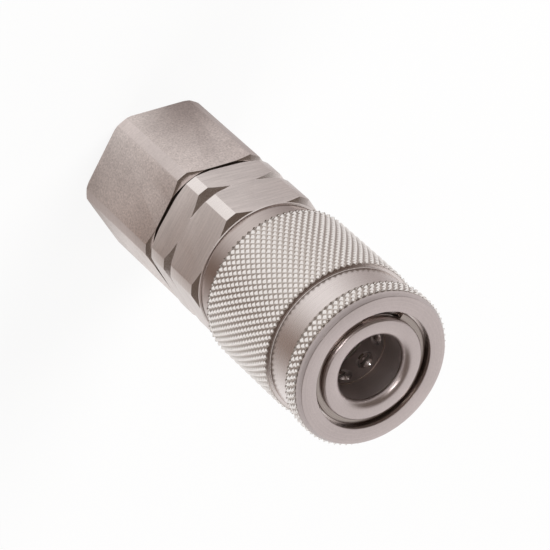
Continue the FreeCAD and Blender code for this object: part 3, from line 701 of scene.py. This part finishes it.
def settle(piece):
    """Applies the piece's modifiers."""
    graph = bpy.context.evaluated_depsgraph_get()
    result = bpy.data.meshes.new_from_object(piece.evaluated_get(graph), preserve_all_data_layers=True,
                                             depsgraph=graph)
    old = piece.data
    piece.modifiers.clear()
    piece.data = result
    bpy.data.meshes.remove(old)


def cut(piece, cutter):
    """Takes a cutter out of a piece."""
    step = piece.modifiers.new("cut", "BOOLEAN")
    step.operation = "DIFFERENCE"
    step.solver = "EXACT"
    step.object = cutter
    before = len(piece.data.vertices)
    settle(piece)
    bpy.data.objects.remove(cutter)
    if len(piece.data.vertices) == before:
        raise RuntimeError(piece.name + " wasn't cut")


def hexagon_form():
    """Radii of the corners, flats and end circles that both hexagons have, and the chamfers' length."""
    s = sizes()
    corner = reach("coupling_body")
    flat = corner - s.flat_depth
    end = flat + s.end_circle_rise
    return corner, flat, end, (corner - end) * math.tan(s.chamfer_angle)


def hexagon_cutter(flat, corner, low, high, turn):
    """A hexagonal ring around the flats."""
    mesh = bmesh.new()
    rings = []
    for radius in (flat, corner * 2):
        tip = radius / math.cos(math.pi / 6)
        for height in (low, high):
            angles = [turn + math.pi / 3 * side for side in range(6)]
            rings.append([mesh.verts.new((tip * math.cos(a), tip * math.sin(a), height)) for a in angles])
    inner_low, inner_high, outer_low, outer_high = rings
    for here, there in ((inner_low, inner_high), (inner_high, outer_high), (outer_high, outer_low),
                        (outer_low, inner_low)):
        for side in range(6):
            after = (side + 1) % 6
            mesh.faces.new((here[side], here[after], there[after], there[side]))
    bmesh.ops.recalc_face_normals(mesh, faces=mesh.faces)
    return new_object("hexagon_cutter", mesh)


def break_hex_edges(piece, flat, width):
    """Rounds the edges of the milled flats a little."""
    def milled(face):
        upright = abs(face.normal.z) < NEW_CUT_UPRIGHT
        return upright and all(abs(v.co.dot(face.normal) - flat) < NEW_CUT_ON_FLAT for v in face.verts)

    mesh = bmesh.new()
    mesh.from_mesh(piece.data)
    bmesh.ops.remove_doubles(mesh, verts=mesh.verts, dist=WELD)
    edges = [edge for edge in mesh.edges
             if len(edge.link_faces) == 2 and sum(milled(face) for face in edge.link_faces) == 1
             and edge.calc_face_angle(0.0) > SHARP]
    if not edges:
        raise RuntimeError(piece.name + " has no milled edges")
    bmesh.ops.bevel(mesh, geom=edges, offset=width, segments=2, profile=0.5, affect="EDGES",
                    clamp_overlap=True)
    mesh.to_mesh(piece.data)
    mesh.free()


def grown(name, group, values):
    """Runs a Geometry Nodes group with its named inputs and keeps the result as a plain object."""
    made = new_object(name, bmesh.new())
    tree = shared_group(group)
    step = made.modifiers.new(name, "NODES")
    step.node_group = tree
    for item in tree.interface.items_tree:
        if item.in_out == "INPUT" and item.name in values:
            step[item.identifier] = values[item.name]
    settle(made)
    mesh = bmesh.new()
    mesh.from_mesh(made.data)
    close_up(mesh)
    mesh.to_mesh(made.data)
    mesh.free()
    if not made.data.polygons:
        raise RuntimeError(name + " came out empty")
    return made


def joined(piece, *others):
    """Joins finished objects into one piece."""
    pieces = [piece, *others]
    with bpy.context.temp_override(active_object=piece, object=piece, selected_objects=pieces,
                                   selected_editable_objects=pieces):
        bpy.ops.object.join()
    return piece


def paint(piece, names, choose=None):
    """Gives the piece its finishes, and each face the one that choose names, or else the first."""
    piece.data.materials.clear()
    for name in names:
        piece.data.materials.append(finish(name))
    for face in piece.data.polygons:
        face.material_index = names.index(choose(face)) if choose else 0


def face_radius(face):
    return face.center.xy.length


def looks_out(face):
    return face.normal.xy.dot(face.center.xy) > 0


def on_flat(face, flat):
    return abs(face.normal.z) < UPRIGHT and abs(face.normal.dot(face.center) - flat) < ON_FLAT


def place(piece, body, slot, *nodes):
    """Hands a finished piece to its body, in place of its CAD nodes."""
    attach(piece, body)
    if nodes:
        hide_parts(*nodes)


def ball_nodes():
    return sorted(name for name in frame["nodes"] if name.startswith("locking_ball"))


def ball_form(name):
    """Middle and radius of a ball."""
    low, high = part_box(name)
    return (low + high) / 2, (high.z - low.z) / 2


def ball_hole_cutter():
    """Stepped drills from outside the nose to the bore, one for each ball."""
    s = sizes()
    mesh = bmesh.new()
    for name in ball_nodes():
        middle, radius = ball_form(name)
        hole = radius + s.ball_hole_play
        lip = radius - s.ball_lip
        outline = [Vector(p) for p in ((0.0, s.throat), (lip, s.throat), (lip, s.ball_lip_depth),
                                       (hole, s.ball_lip_depth), (hole, s.nose + hole), (0.0, s.nose + hole))]
        drill = lathe(outline, DRILL_STEPS)
        angle = math.atan2(middle.y, middle.x)
        lay_down = Matrix.Rotation(angle, 4, "Z") @ Matrix.Rotation(math.pi / 2, 4, "Y")
        bmesh.ops.transform(drill, matrix=Matrix.Translation((0, 0, middle.z)) @ lay_down, verts=drill.verts)
        scratch = bpy.data.meshes.new("drill")
        drill.to_mesh(scratch)
        drill.free()
        mesh.from_mesh(scratch)
        bpy.data.meshes.remove(scratch)
    return new_object("ball_hole_cutter", mesh)


# Operators, one for each piece or group of like pieces

class COUPLING_OT_adaptor(bpy.types.Operator):
    """Rear adaptor: a turned hexagon with a threaded port"""

    bl_idname = "coupling.adaptor"
    bl_label = "Rear adaptor"

    def execute(self, context):
        s = sizes()
        slope = math.tan(s.chamfer_angle)
        corner, flat, end, chamfer = hexagon_form()
        joint = bottom("coupling_body")
        spigot_end = top("rear_adaptor")
        crest = mount_radius("rear_port")
        root = crest + s.thread_depth
        thread_end = s.port_depth - s.thread_pitch
        outline = round_corners([
            (root + s.port_edge, 0.0),
            (corner - s.rear_edge, 0.0),
            (corner, s.rear_edge * slope),
            (corner, s.adaptor_hex - chamfer),
            (end, s.adaptor_hex),
            (s.collar, s.adaptor_hex),
            (s.collar, joint, 0.0),
            (s.spigot, joint, 0.0),
            (s.spigot, spigot_end),
            (s.spigot_mouth, spigot_end),
            (s.flow_bore, spigot_end - (s.spigot_mouth - s.flow_bore)),
            (s.flow_bore, s.port_depth + (crest - s.flow_bore) * slope),
            (crest, s.port_depth),
            (crest, thread_end),
            (root, thread_end - s.thread_pitch / 2),
            (root, s.port_edge),
        ], s.edge)
        piece = new_object("rear_adaptor_fine", lathe(outline, s.segments))
        cut(piece, hexagon_cutter(flat, corner, -s.joint_bore, s.adaptor_hex + s.edge, s.adaptor_turn))
        break_hex_edges(piece, flat, s.hex_edge)

        def choose(face):
            radius = face_radius(face)
            # Faces between the adaptor and the body get painted shade
            if s.adaptor_hex - s.edge < face.center.z < joint + s.edge and s.spigot < radius < end:
                return "gap_steel"
            if abs(face.normal.z) < UPRIGHT and radius > corner - s.edge and looks_out(face):
                return "worn_strip"
            if on_flat(face, flat):
                return "blasted_flat"
            if radius < root and face.center.z > s.port_depth:
                return "oiled_bore"
            return "turned_steel"

        paint(piece, ("turned_steel", "blasted_flat", "worn_strip", "oiled_bore", "gap_steel"), choose)
        turns = math.floor(s.port_depth / s.thread_pitch) - 1
        thread = grown("port_thread", "coil", {
            "Radius": root, "Start": s.thread_pitch * s.thread_start, "Height": s.thread_pitch * turns,
            "Turns": turns, "Steps per turn": THREAD_STEPS, "Section radial": s.thread_depth,
            "Section axial": s.thread_pitch / 2, "Section sides": THREAD_SIDES,
            "Material": finish("turned_steel")})
        piece = joined(piece, thread)
        smooth(piece)
        place(piece, "coupling", "adaptor_steel", "rear_adaptor")
        return {"FINISHED"}


class COUPLING_OT_body(bpy.types.Operator):
    """Body: front hexagon, neck, spring tube and nose with its ball holes"""

    bl_idname = "coupling.body"
    bl_label = "Coupling body"

    def execute(self, context):
        s = sizes()
        corner, flat, end, chamfer = hexagon_form()
        joint = bottom("coupling_body")
        nose_end = top("coupling_body")
        hex_end = joint + s.body_hex
        rim = s.neck + s.rim_step
        rim_chamfer = (corner - rim) * math.tan(s.chamfer_angle)
        groove = joint + s.groove_position
        spring_seat = bottom("sleeve") + s.skirt_overlap
        tube_end = spring_seat + s.tube_length
        ring_low = bottom("stop_ring") - s.recess_play / 2
        ring_high = top("stop_ring") + s.recess_play / 2
        ring_floor = s.nose - s.ring_groove
        mouth = mount_radius("plug_bore")
        mouth_floor = nose_end - s.mouth_length
        plug_floor = mouth_floor - s.plug_bore_length
        seal_low = bottom("plug_seal") - s.recess_play * 2
        seal_high = top("plug_backup_ring") + s.recess_play * 2
        seal_floor = reach("plug_seal") + s.recess_play / 2
        throat_start = plug_floor - s.throat_length
        guide_low = top("rear_adaptor") + s.guide_thickness
        outline = round_corners([
            (s.joint_bore, joint),
            (end, joint),
            (corner, joint + chamfer),
            (corner, groove - s.groove_width / 2),
            (flat + s.groove_rise, groove),
            (corner, groove + s.groove_width / 2, s.groove_edge),
            (corner, hex_end - rim_chamfer),
            (rim, hex_end),
            (rim, hex_end + s.rim_flat, 0.0),
            (s.neck, hex_end + s.rim_length, 0.0),
            (s.neck, spring_seat),
            (s.tube, spring_seat),
            (s.tube, tube_end - (s.tube - s.nose)),
            (s.nose, tube_end),
            (s.nose, ring_low),
            (ring_floor, ring_low, 0.0),
            (ring_floor, ring_high, 0.0),
            (s.nose, ring_high),
            (s.nose, nose_end - s.nose_edge),
            (s.nose - s.nose_edge, nose_end),
            (mouth, nose_end, s.mouth_round),
            (mouth, mouth_floor, 0.0),
            (s.plug_bore, mouth_floor, 0.0),
            (s.plug_bore, seal_high),
            (seal_floor, seal_high, 0.0),
            (seal_floor, seal_low, 0.0),
            (s.plug_bore, seal_low),
            (s.plug_bore, plug_floor),
            (s.throat, plug_floor),
            (s.throat, throat_start),
            (s.chamber, throat_start - (s.chamber - s.throat)),
            (s.chamber, guide_low),
            (s.joint_bore, guide_low, 0.0),
        ], s.edge)
        piece = new_object("coupling_body_fine", lathe(outline, s.segments))
        cut(piece, hexagon_cutter(flat, corner, joint - s.edge, hex_end, 0.0))
        cut(piece, ball_hole_cutter())
        break_hex_edges(piece, flat, s.hex_edge)

        def choose(face):
            radius = face_radius(face)
            height = face.center.z
            # The bore's step ring and the faces in the joint get painted shade
            step_ring = face.normal.z > FORWARD and s.plug_bore < radius < mouth
            if step_ring or (height < joint + s.edge and radius < end):
                return "gap_steel"
            on_corner = radius > corner - s.edge
            on_rim = hex_end < height < hex_end + s.rim_length
            if abs(face.normal.z) < UPRIGHT and looks_out(face) and (on_corner or on_rim):
                return "bright_strip"
            if height < hex_end and on_flat(face, flat):
                return "milled_flat"
            if radius < mouth + s.edge and height < nose_end - s.mouth_round:
                return "oiled_bore"
            if height > ring_high:
                return "turned_face"
            # The neck between the hexagon and the sleeve gets painted shade
            if hex_end + s.rim_length < height < spring_seat and radius > s.neck - s.edge:
                return "turned_neck"
            return "turned_steel"

        paint(piece, ("turned_steel", "milled_flat", "bright_strip", "oiled_bore", "turned_face", "gap_steel",
                      "turned_neck"), choose)
        smooth(piece)
        place(piece, "coupling", "body_steel", "coupling_body")
        return {"FINISHED"}


class COUPLING_OT_sleeve(bpy.types.Operator):
    """Locking sleeve with two knurls and a plain band"""

    bl_idname = "coupling.sleeve"
    bl_label = "Sleeve"

    def execute(self, context):
        s = sizes()
        low = bottom("sleeve")
        high = top("sleeve")
        crest = reach("sleeve")
        root = crest - s.knurl_depth
        core = root + s.core_rise
        band = crest - s.band_step
        front_end = high - s.face_chamfer
        front_start = front_end - s.front_knurl
        rear_end = front_start - s.band_length
        balls = ball_form(ball_nodes()[0])[0].z
        land_start = top("spring_washer")
        recess_floor = bottom("stop_ring") - s.recess_play
        outline = round_corners([
            (s.skirt, low + s.skirt_lead),
            (s.skirt + s.skirt_lead, low),
            (core, low),
            (core, rear_end),
            (band, rear_end, s.tool_nose),
            (band, front_start - s.band_step, 0.0),
            (core, front_start - s.knurl_depth),
            (core, front_end + s.knurl_depth / 2),
            (crest - s.face_step, high),
            (s.recess, high),
            (s.recess, recess_floor, 0.0),
            (s.land, recess_floor),
            (s.land, balls + s.release_end),
            (s.release, balls + s.release_end, 0.0),
            (s.release, balls + s.release_start + s.release_ramp),
            (s.land, balls + s.release_start),
            (s.land, land_start),
            (s.skirt, land_start, 0.0),
        ], s.edge)
        piece = new_object("sleeve_fine", lathe(outline, s.segments))

        def choose(face):
            # Forward faces take the face finish, and the sloping front chamfer takes its darker copy with
            # painted shade
            if face.normal.z > SLOPING and face.center.z > front_end:
                return "turned_face" if face.normal.z > FORWARD else "turned_chamfer"
            outside = looks_out(face) and face_radius(face) > root
            return "knurl_bright" if outside and face.center.z < front_end else "turned_steel"

        # Sides that face rearwards get the knurl copy with painted shade
        def choose_side(face):
            return "knurl_dull" if face.normal.z < BACKWARD else "knurl_bright"

        paint(piece, ("turned_steel", "turned_face", "knurl_bright", "turned_chamfer"), choose)
        knurls = []
        for name, start, stop, before in (("rear_knurl", low, rear_end, 0),
                                          ("front_knurl", front_start, front_end, 1)):
            first = start - s.knurl_row / 2
            knurl = grown(name, "knurl", {
                "Root radius": root, "Tooth height": s.knurl_depth, "Root sink": s.knurl_sink,
                "Crest share": s.knurl_crest, "Teeth": s.knurl_count, "Row step": s.knurl_row,
                "Rows": math.ceil((stop - first) / s.knurl_row) + 1, "First row": first,
                "Rows before": before, "Low end": start, "High end": stop,
                "Material": finish("knurl_bright")})
            paint(knurl, ("knurl_bright", "knurl_dull"), choose_side)
            knurls.append(knurl)
        smooth(piece)
        piece = joined(piece, *knurls)
        place(piece, "sleeve", "sleeve_steel", "sleeve")
        return {"FINISHED"}


class COUPLING_OT_stop_ring(bpy.types.Operator):
    """Open ring in the groove of the nose"""

    bl_idname = "coupling.stop_ring"
    bl_label = "Stop ring"

    def execute(self, context):
        s = sizes()
        low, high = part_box("stop_ring")
        inner = s.nose - s.ring_groove + s.recess_play / 2
        outer = max(-low.x, high.x, -low.y, high.y)
        section = [(inner, low.z), (outer, low.z), (outer, high.z), (inner, high.z)]
        outline = round_corners(section, s.ring_edge)
        start = s.ring_turn + s.ring_gap / 2
        piece = new_object("stop_ring_fine", lathe(outline, s.segments, start, FULL_TURN - s.ring_gap))
        paint(piece, ("ring_finish",))
        smooth(piece)
        place(piece, "coupling", "ring_steel", "stop_ring")
        return {"FINISHED"}


class COUPLING_OT_balls(bpy.types.Operator):
    """Locking balls, each on its own body"""

    bl_idname = "coupling.balls"
    bl_label = "Locking balls"

    def execute(self, context):
        angles = [math.pi * step / BALL_STEPS for step in range(BALL_STEPS + 1)]
        for number, name in enumerate(ball_nodes(), start=1):
            middle, radius = ball_form(name)
            outline = [Vector((radius * math.sin(angle), -radius * math.cos(angle))) for angle in angles]
            outline[0].x = outline[-1].x = 0.0
            mesh = lathe(outline, BALL_STEPS * 2)
            bmesh.ops.translate(mesh, vec=middle, verts=mesh.verts)
            piece = new_object("ball_fine_%d" % number, mesh)
            paint(piece, ("ball_chrome",))
            smooth(piece)
            place(piece, "ball_%d" % number, "ball_steel", name)
        return {"FINISHED"}


class COUPLING_OT_springs(bpy.types.Operator):
    """Sleeve spring and valve spring"""

    bl_idname = "coupling.springs"
    bl_label = "Springs"

    def execute(self, context):
        s = sizes()
        for node, joint, wire, turns in (("sleeve_spring", "sleeve_slide", s.spring_wire, s.spring_turns),
                                         ("valve_spring", "poppet_slide", s.valve_wire, s.valve_turns)):
            low = bottom(node)
            length = top(node) - low
            piece = grown(node + "_fine", "coil", {
                "Radius": reach(node) - wire, "Start": low + wire, "Height": length - wire * 2,
                "Turns": turns, "Steps per turn": WIRE_STEPS, "Section radial": wire, "Section axial": wire,
                "Section sides": WIRE_SIDES, "Material": finish("spring_wire")})
            smooth(piece)
            place(piece, "coupling", "spring_steel", node)
            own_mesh(piece)
        return {"FINISHED"}


class COUPLING_OT_inner_parts(bpy.types.Operator):
    """Finishes for the pieces that keep their CAD shape"""

    bl_idname = "coupling.inner_parts"
    bl_label = "Valve, washer and seals"

    def execute(self, context):
        for finish_name, nodes in (("turned_steel", ("valve_poppet",)),
                                   ("guide_finish", ("valve_guide",)),
                                   ("ring_finish", ("spring_washer",)),
                                   ("seal_finish", ("poppet_seal", "plug_seal", "adaptor_seal")),
                                   ("backup_finish", ("plug_backup_ring", "adaptor_backup_ring"))):
            for name in nodes:
                materials = frame["nodes"][name].data.materials
                materials.clear()
                materials.append(finish(finish_name))
        return {"FINISHED"}


class COUPLING_OT_stage(bpy.types.Operator):
    """Floor, room, lamps and camera"""

    bl_idname = "coupling.stage"
    bl_label = "Stage"

    def execute(self, context):
        scene = context.scene
        scene.view_settings.view_transform = "Standard"
        set_camera(scene)
        set_world(scene)
        set_floor()
        set_lamps()
        return {"FINISHED"}


# Stage

SENSOR_WIDTH = 36.0
FLOOR_SQUARES = 8


def view_axes():
    """The part's X, Y and Z as seen by the camera: right, down and forward."""
    v = stage_values()
    tilt, roll = v.view_tilt, v.view_roll
    upward = Vector((math.sin(tilt) * math.cos(roll), math.sin(tilt) * math.sin(roll), -math.cos(tilt)))
    towards = Vector((-math.cos(tilt) * math.cos(roll), -math.cos(tilt) * math.sin(roll), -math.sin(tilt)))
    sideways = Vector((-math.sin(roll), math.cos(roll), 0.0))
    along_x = towards * math.cos(v.view_turn) - sideways * math.sin(v.view_turn)
    return along_x, upward.cross(along_x), upward


def set_camera(scene):
    v = stage_values()
    along_x, along_y, upward = view_axes()
    seen = Vector((v.view_right, v.view_down, v.view_distance)) - upward * top("sleeve")
    right, down, forward = (Vector((along_x[i], along_y[i], upward[i])) for i in range(3))
    eye = -(right * seen[0] + down * seen[1] + forward * seen[2])
    data = bpy.data.cameras.new("camera")
    data.sensor_width = SENSOR_WIDTH
    data.lens = SENSOR_WIDTH * v.focal_share
    camera = bpy.data.objects.new("camera", data)
    camera.matrix_world = Matrix.Translation(eye) @ Matrix((right, -down, -forward)).transposed().to_4x4()
    scene.collection.objects.link(camera)
    scene.camera = camera


def seen_directly(tree):
    """1 for rays from the camera, or through a gloss or glass."""
    rays = add_node(tree, "ShaderNodeLightPath").outputs
    some = math_node(tree, "MAXIMUM", rays["Is Camera Ray"], rays["Is Glossy Ray"])
    return math_node(tree, "MAXIMUM", some, rays["Is Transmission Ray"])


def soft_step(tree, value, start, full):
    """0 before start and 1 from full on, with soft ends."""
    return map_range(tree, value, start, full, kind="SMOOTHSTEP")


def soft_fall(tree, value, full, end):
    """1 up to full and 0 from end on, with soft ends."""
    return soft_step(tree, math_node(tree, "MULTIPLY", value, -1.0), -end, -full)


def along(tree, vector, angle):
    """How far a vector points along a level direction."""
    level = (math.cos(angle), math.sin(angle), 0.0)
    return add_node(tree, "ShaderNodeVectorMath", {0: vector, 1: level},
                    operation="DOT_PRODUCT").outputs["Value"]


def set_world(scene):
    """A white room with a dark roof, lower at the sides and open to the light behind the part."""
    v = stage_values()
    world = bpy.data.worlds.new("room")
    world.use_nodes = True
    tree = world.node_tree
    direction = add_node(tree, "ShaderNodeTexCoord").outputs["Generated"]
    height = parts_of(tree, direction)["Z"]
    side = math_node(tree, "ABSOLUTE", along(tree, direction, v.view_turn + math.pi / 2))
    sunk = math_node(tree, "MULTIPLY_ADD", side, v.roof_sink, height)
    roof = soft_step(tree, sunk, math.sin(v.roof_start), math.sin(v.roof_full))
    back = math_node(tree, "MULTIPLY", along(tree, direction, v.view_turn), -1.0)
    opening = soft_step(tree, back, v.opening_start, v.opening_full)
    dark = math_node(tree, "MULTIPLY", roof, math_node(tree, "SUBTRACT", 1.0, opening))
    room = mixed_colour(tree, dark, shade(WHITE, v.world_light), tuple(colours().roof))
    camera_ray = add_node(tree, "ShaderNodeLightPath").outputs["Is Camera Ray"]
    seen = mixed_colour(tree, camera_ray, room, WHITE)
    tree.links.new(seen, tree.nodes["Background"].inputs["Color"])
    scene.world = world


def set_floor():
    """A pale floor, shaded near the part where the metal mirrors it."""
    v = stage_values()
    mesh = bmesh.new()
    bmesh.ops.create_grid(mesh, x_segments=FLOOR_SQUARES, y_segments=FLOOR_SQUARES, size=v.floor_reach)
    bmesh.ops.translate(mesh, vec=(0.0, 0.0, -v.floor_drop), verts=mesh.verts)
    floor = new_object("floor", mesh)
    material, tree, shader = new_material("floor_white")
    tree.nodes.remove(shader)
    matt = add_node(tree, "ShaderNodeBsdfDiffuse", {"Color": (*colours().floor, 1.0)})
    spot = add_node(tree, "ShaderNodeTexCoord").outputs["Object"]
    around = add_node(tree, "ShaderNodeVectorMath", {0: spot}, operation="NORMALIZE").outputs["Vector"]
    distance = length_node(tree, spot)
    outer = soft_fall(tree, distance, v.shade_near, v.shade_far)
    deepening = soft_step(tree, distance, v.shade_inner, v.shade_full)
    inner = math_node(tree, "MULTIPLY_ADD", deepening, 1.0 - v.shade_beside, v.shade_beside)
    wide = math_node(tree, "MULTIPLY", outer, inner)
    foot = soft_fall(tree, distance, v.foot_near, v.foot_far)
    mirrored = WHITE
    for turn, spread, tone, reached in ((v.deep_turn, v.deep_spread, colours().deep_shade, wide),
                                        (v.soft_turn, v.soft_spread, colours().soft_shade, wide),
                                        (v.foot_turn, v.foot_spread, colours().foot_shade, foot)):
        off = math_node(tree, "ARCCOSINE", along(tree, around, turn))
        shaded = math_node(tree, "MULTIPLY", soft_fall(tree, off, 0.0, spread), reached)
        mirrored = mixed_colour(tree, shaded, mirrored, tuple(tone))
    glossy_ray = add_node(tree, "ShaderNodeLightPath").outputs["Is Glossy Ray"]
    seen = mixed_colour(tree, glossy_ray, WHITE, mirrored)
    glow = add_node(tree, "ShaderNodeEmission", {"Color": seen, "Strength": 1.0})
    share = math_node(tree, "MULTIPLY", seen_directly(tree), v.floor_glow)
    both = add_node(tree, "ShaderNodeMixShader", {0: share, 1: matt.outputs[0], 2: glow.outputs[0]})
    tree.links.new(both.outputs[0], tree.nodes["Material Output"].inputs["Surface"])
    floor.data.materials.append(material)


def hang_lamp(name, kind, aim, turn, height, distance, power):
    """Hangs a lamp that shines at a point, and returns its object."""
    data = bpy.data.lights.new(name, kind)
    data.energy = power
    lamp = bpy.data.objects.new(name, data)
    level = math.cos(height) * distance
    offset = Vector((level * math.cos(turn), level * math.sin(turn), math.sin(height) * distance))
    lamp.location = aim + offset
    lamp.rotation_euler = offset.to_track_quat("Z", "Y").to_euler()
    bpy.context.scene.collection.objects.link(lamp)
    return lamp


def set_lamps():
    """Two soft lamps that light without glare, and a narrow one for the glints in the bore."""
    v = stage_values()
    middle = Vector((0.0, 0.0, top("sleeve") / 2))
    for name, turn, height, power in (("key", v.key_turn, v.key_height, v.key_power),
                                      ("fill", v.fill_turn, v.fill_height, v.fill_power)):
        lamp = hang_lamp(name, "AREA", middle, turn, height, v.lamp_distance, power)
        lamp.data.shape = "DISK"
        lamp.data.size = v.lamp_size
        lamp.visible_glossy = False
    mouth = Vector((0.0, 0.0, top("coupling_body")))
    spot = hang_lamp("glint", "SPOT", mouth, v.glint_turn, v.glint_height, v.glint_distance, v.glint_power)
    spot.data.spot_size = v.glint_cone
    spot.data.shadow_soft_size = v.glint_size
    spot.visible_diffuse = False


OPERATORS = (COUPLING_OT_adaptor, COUPLING_OT_body, COUPLING_OT_sleeve, COUPLING_OT_stop_ring,
             COUPLING_OT_balls, COUPLING_OT_springs, COUPLING_OT_inner_parts, COUPLING_OT_stage)


class COUPLING_PT_panel(bpy.types.Panel):
    """Lists the pieces and the values that shape them"""

    bl_idname = "COUPLING_PT_panel"
    bl_label = "Quick coupling"
    bl_space_type = "VIEW_3D"
    bl_region_type = "UI"
    bl_category = "Coupling"

    def draw(self, context):
        for operator in OPERATORS:
            self.layout.operator(operator.bl_idname)
        for group in (sizes(), colours(), stage_values()):
            box = self.layout.box()
            for name in group.__annotations__:
                box.prop(group, name)


CLASSES = (CouplingSizes, CouplingColours, CouplingStage, *OPERATORS, COUPLING_PT_panel)


def register():
    for item in CLASSES:
        bpy.utils.register_class(item)
    bpy.types.Scene.coupling_sizes = PointerProperty(type=CouplingSizes)
    bpy.types.Scene.coupling_colours = PointerProperty(type=CouplingColours)
    bpy.types.Scene.coupling_stage = PointerProperty(type=CouplingStage)


def unregister():
    del bpy.types.Scene.coupling_stage
    del bpy.types.Scene.coupling_colours
    del bpy.types.Scene.coupling_sizes
    for item in reversed(CLASSES):
        bpy.utils.unregister_class(item)


def main():
    register()
    bpy.ops.coupling.adaptor()
    bpy.ops.coupling.body()
    bpy.ops.coupling.sleeve()
    bpy.ops.coupling.stop_ring()
    bpy.ops.coupling.balls()
    bpy.ops.coupling.springs()
    bpy.ops.coupling.inner_parts()
    bpy.ops.coupling.stage()


if __name__ == "__main__":
    main()
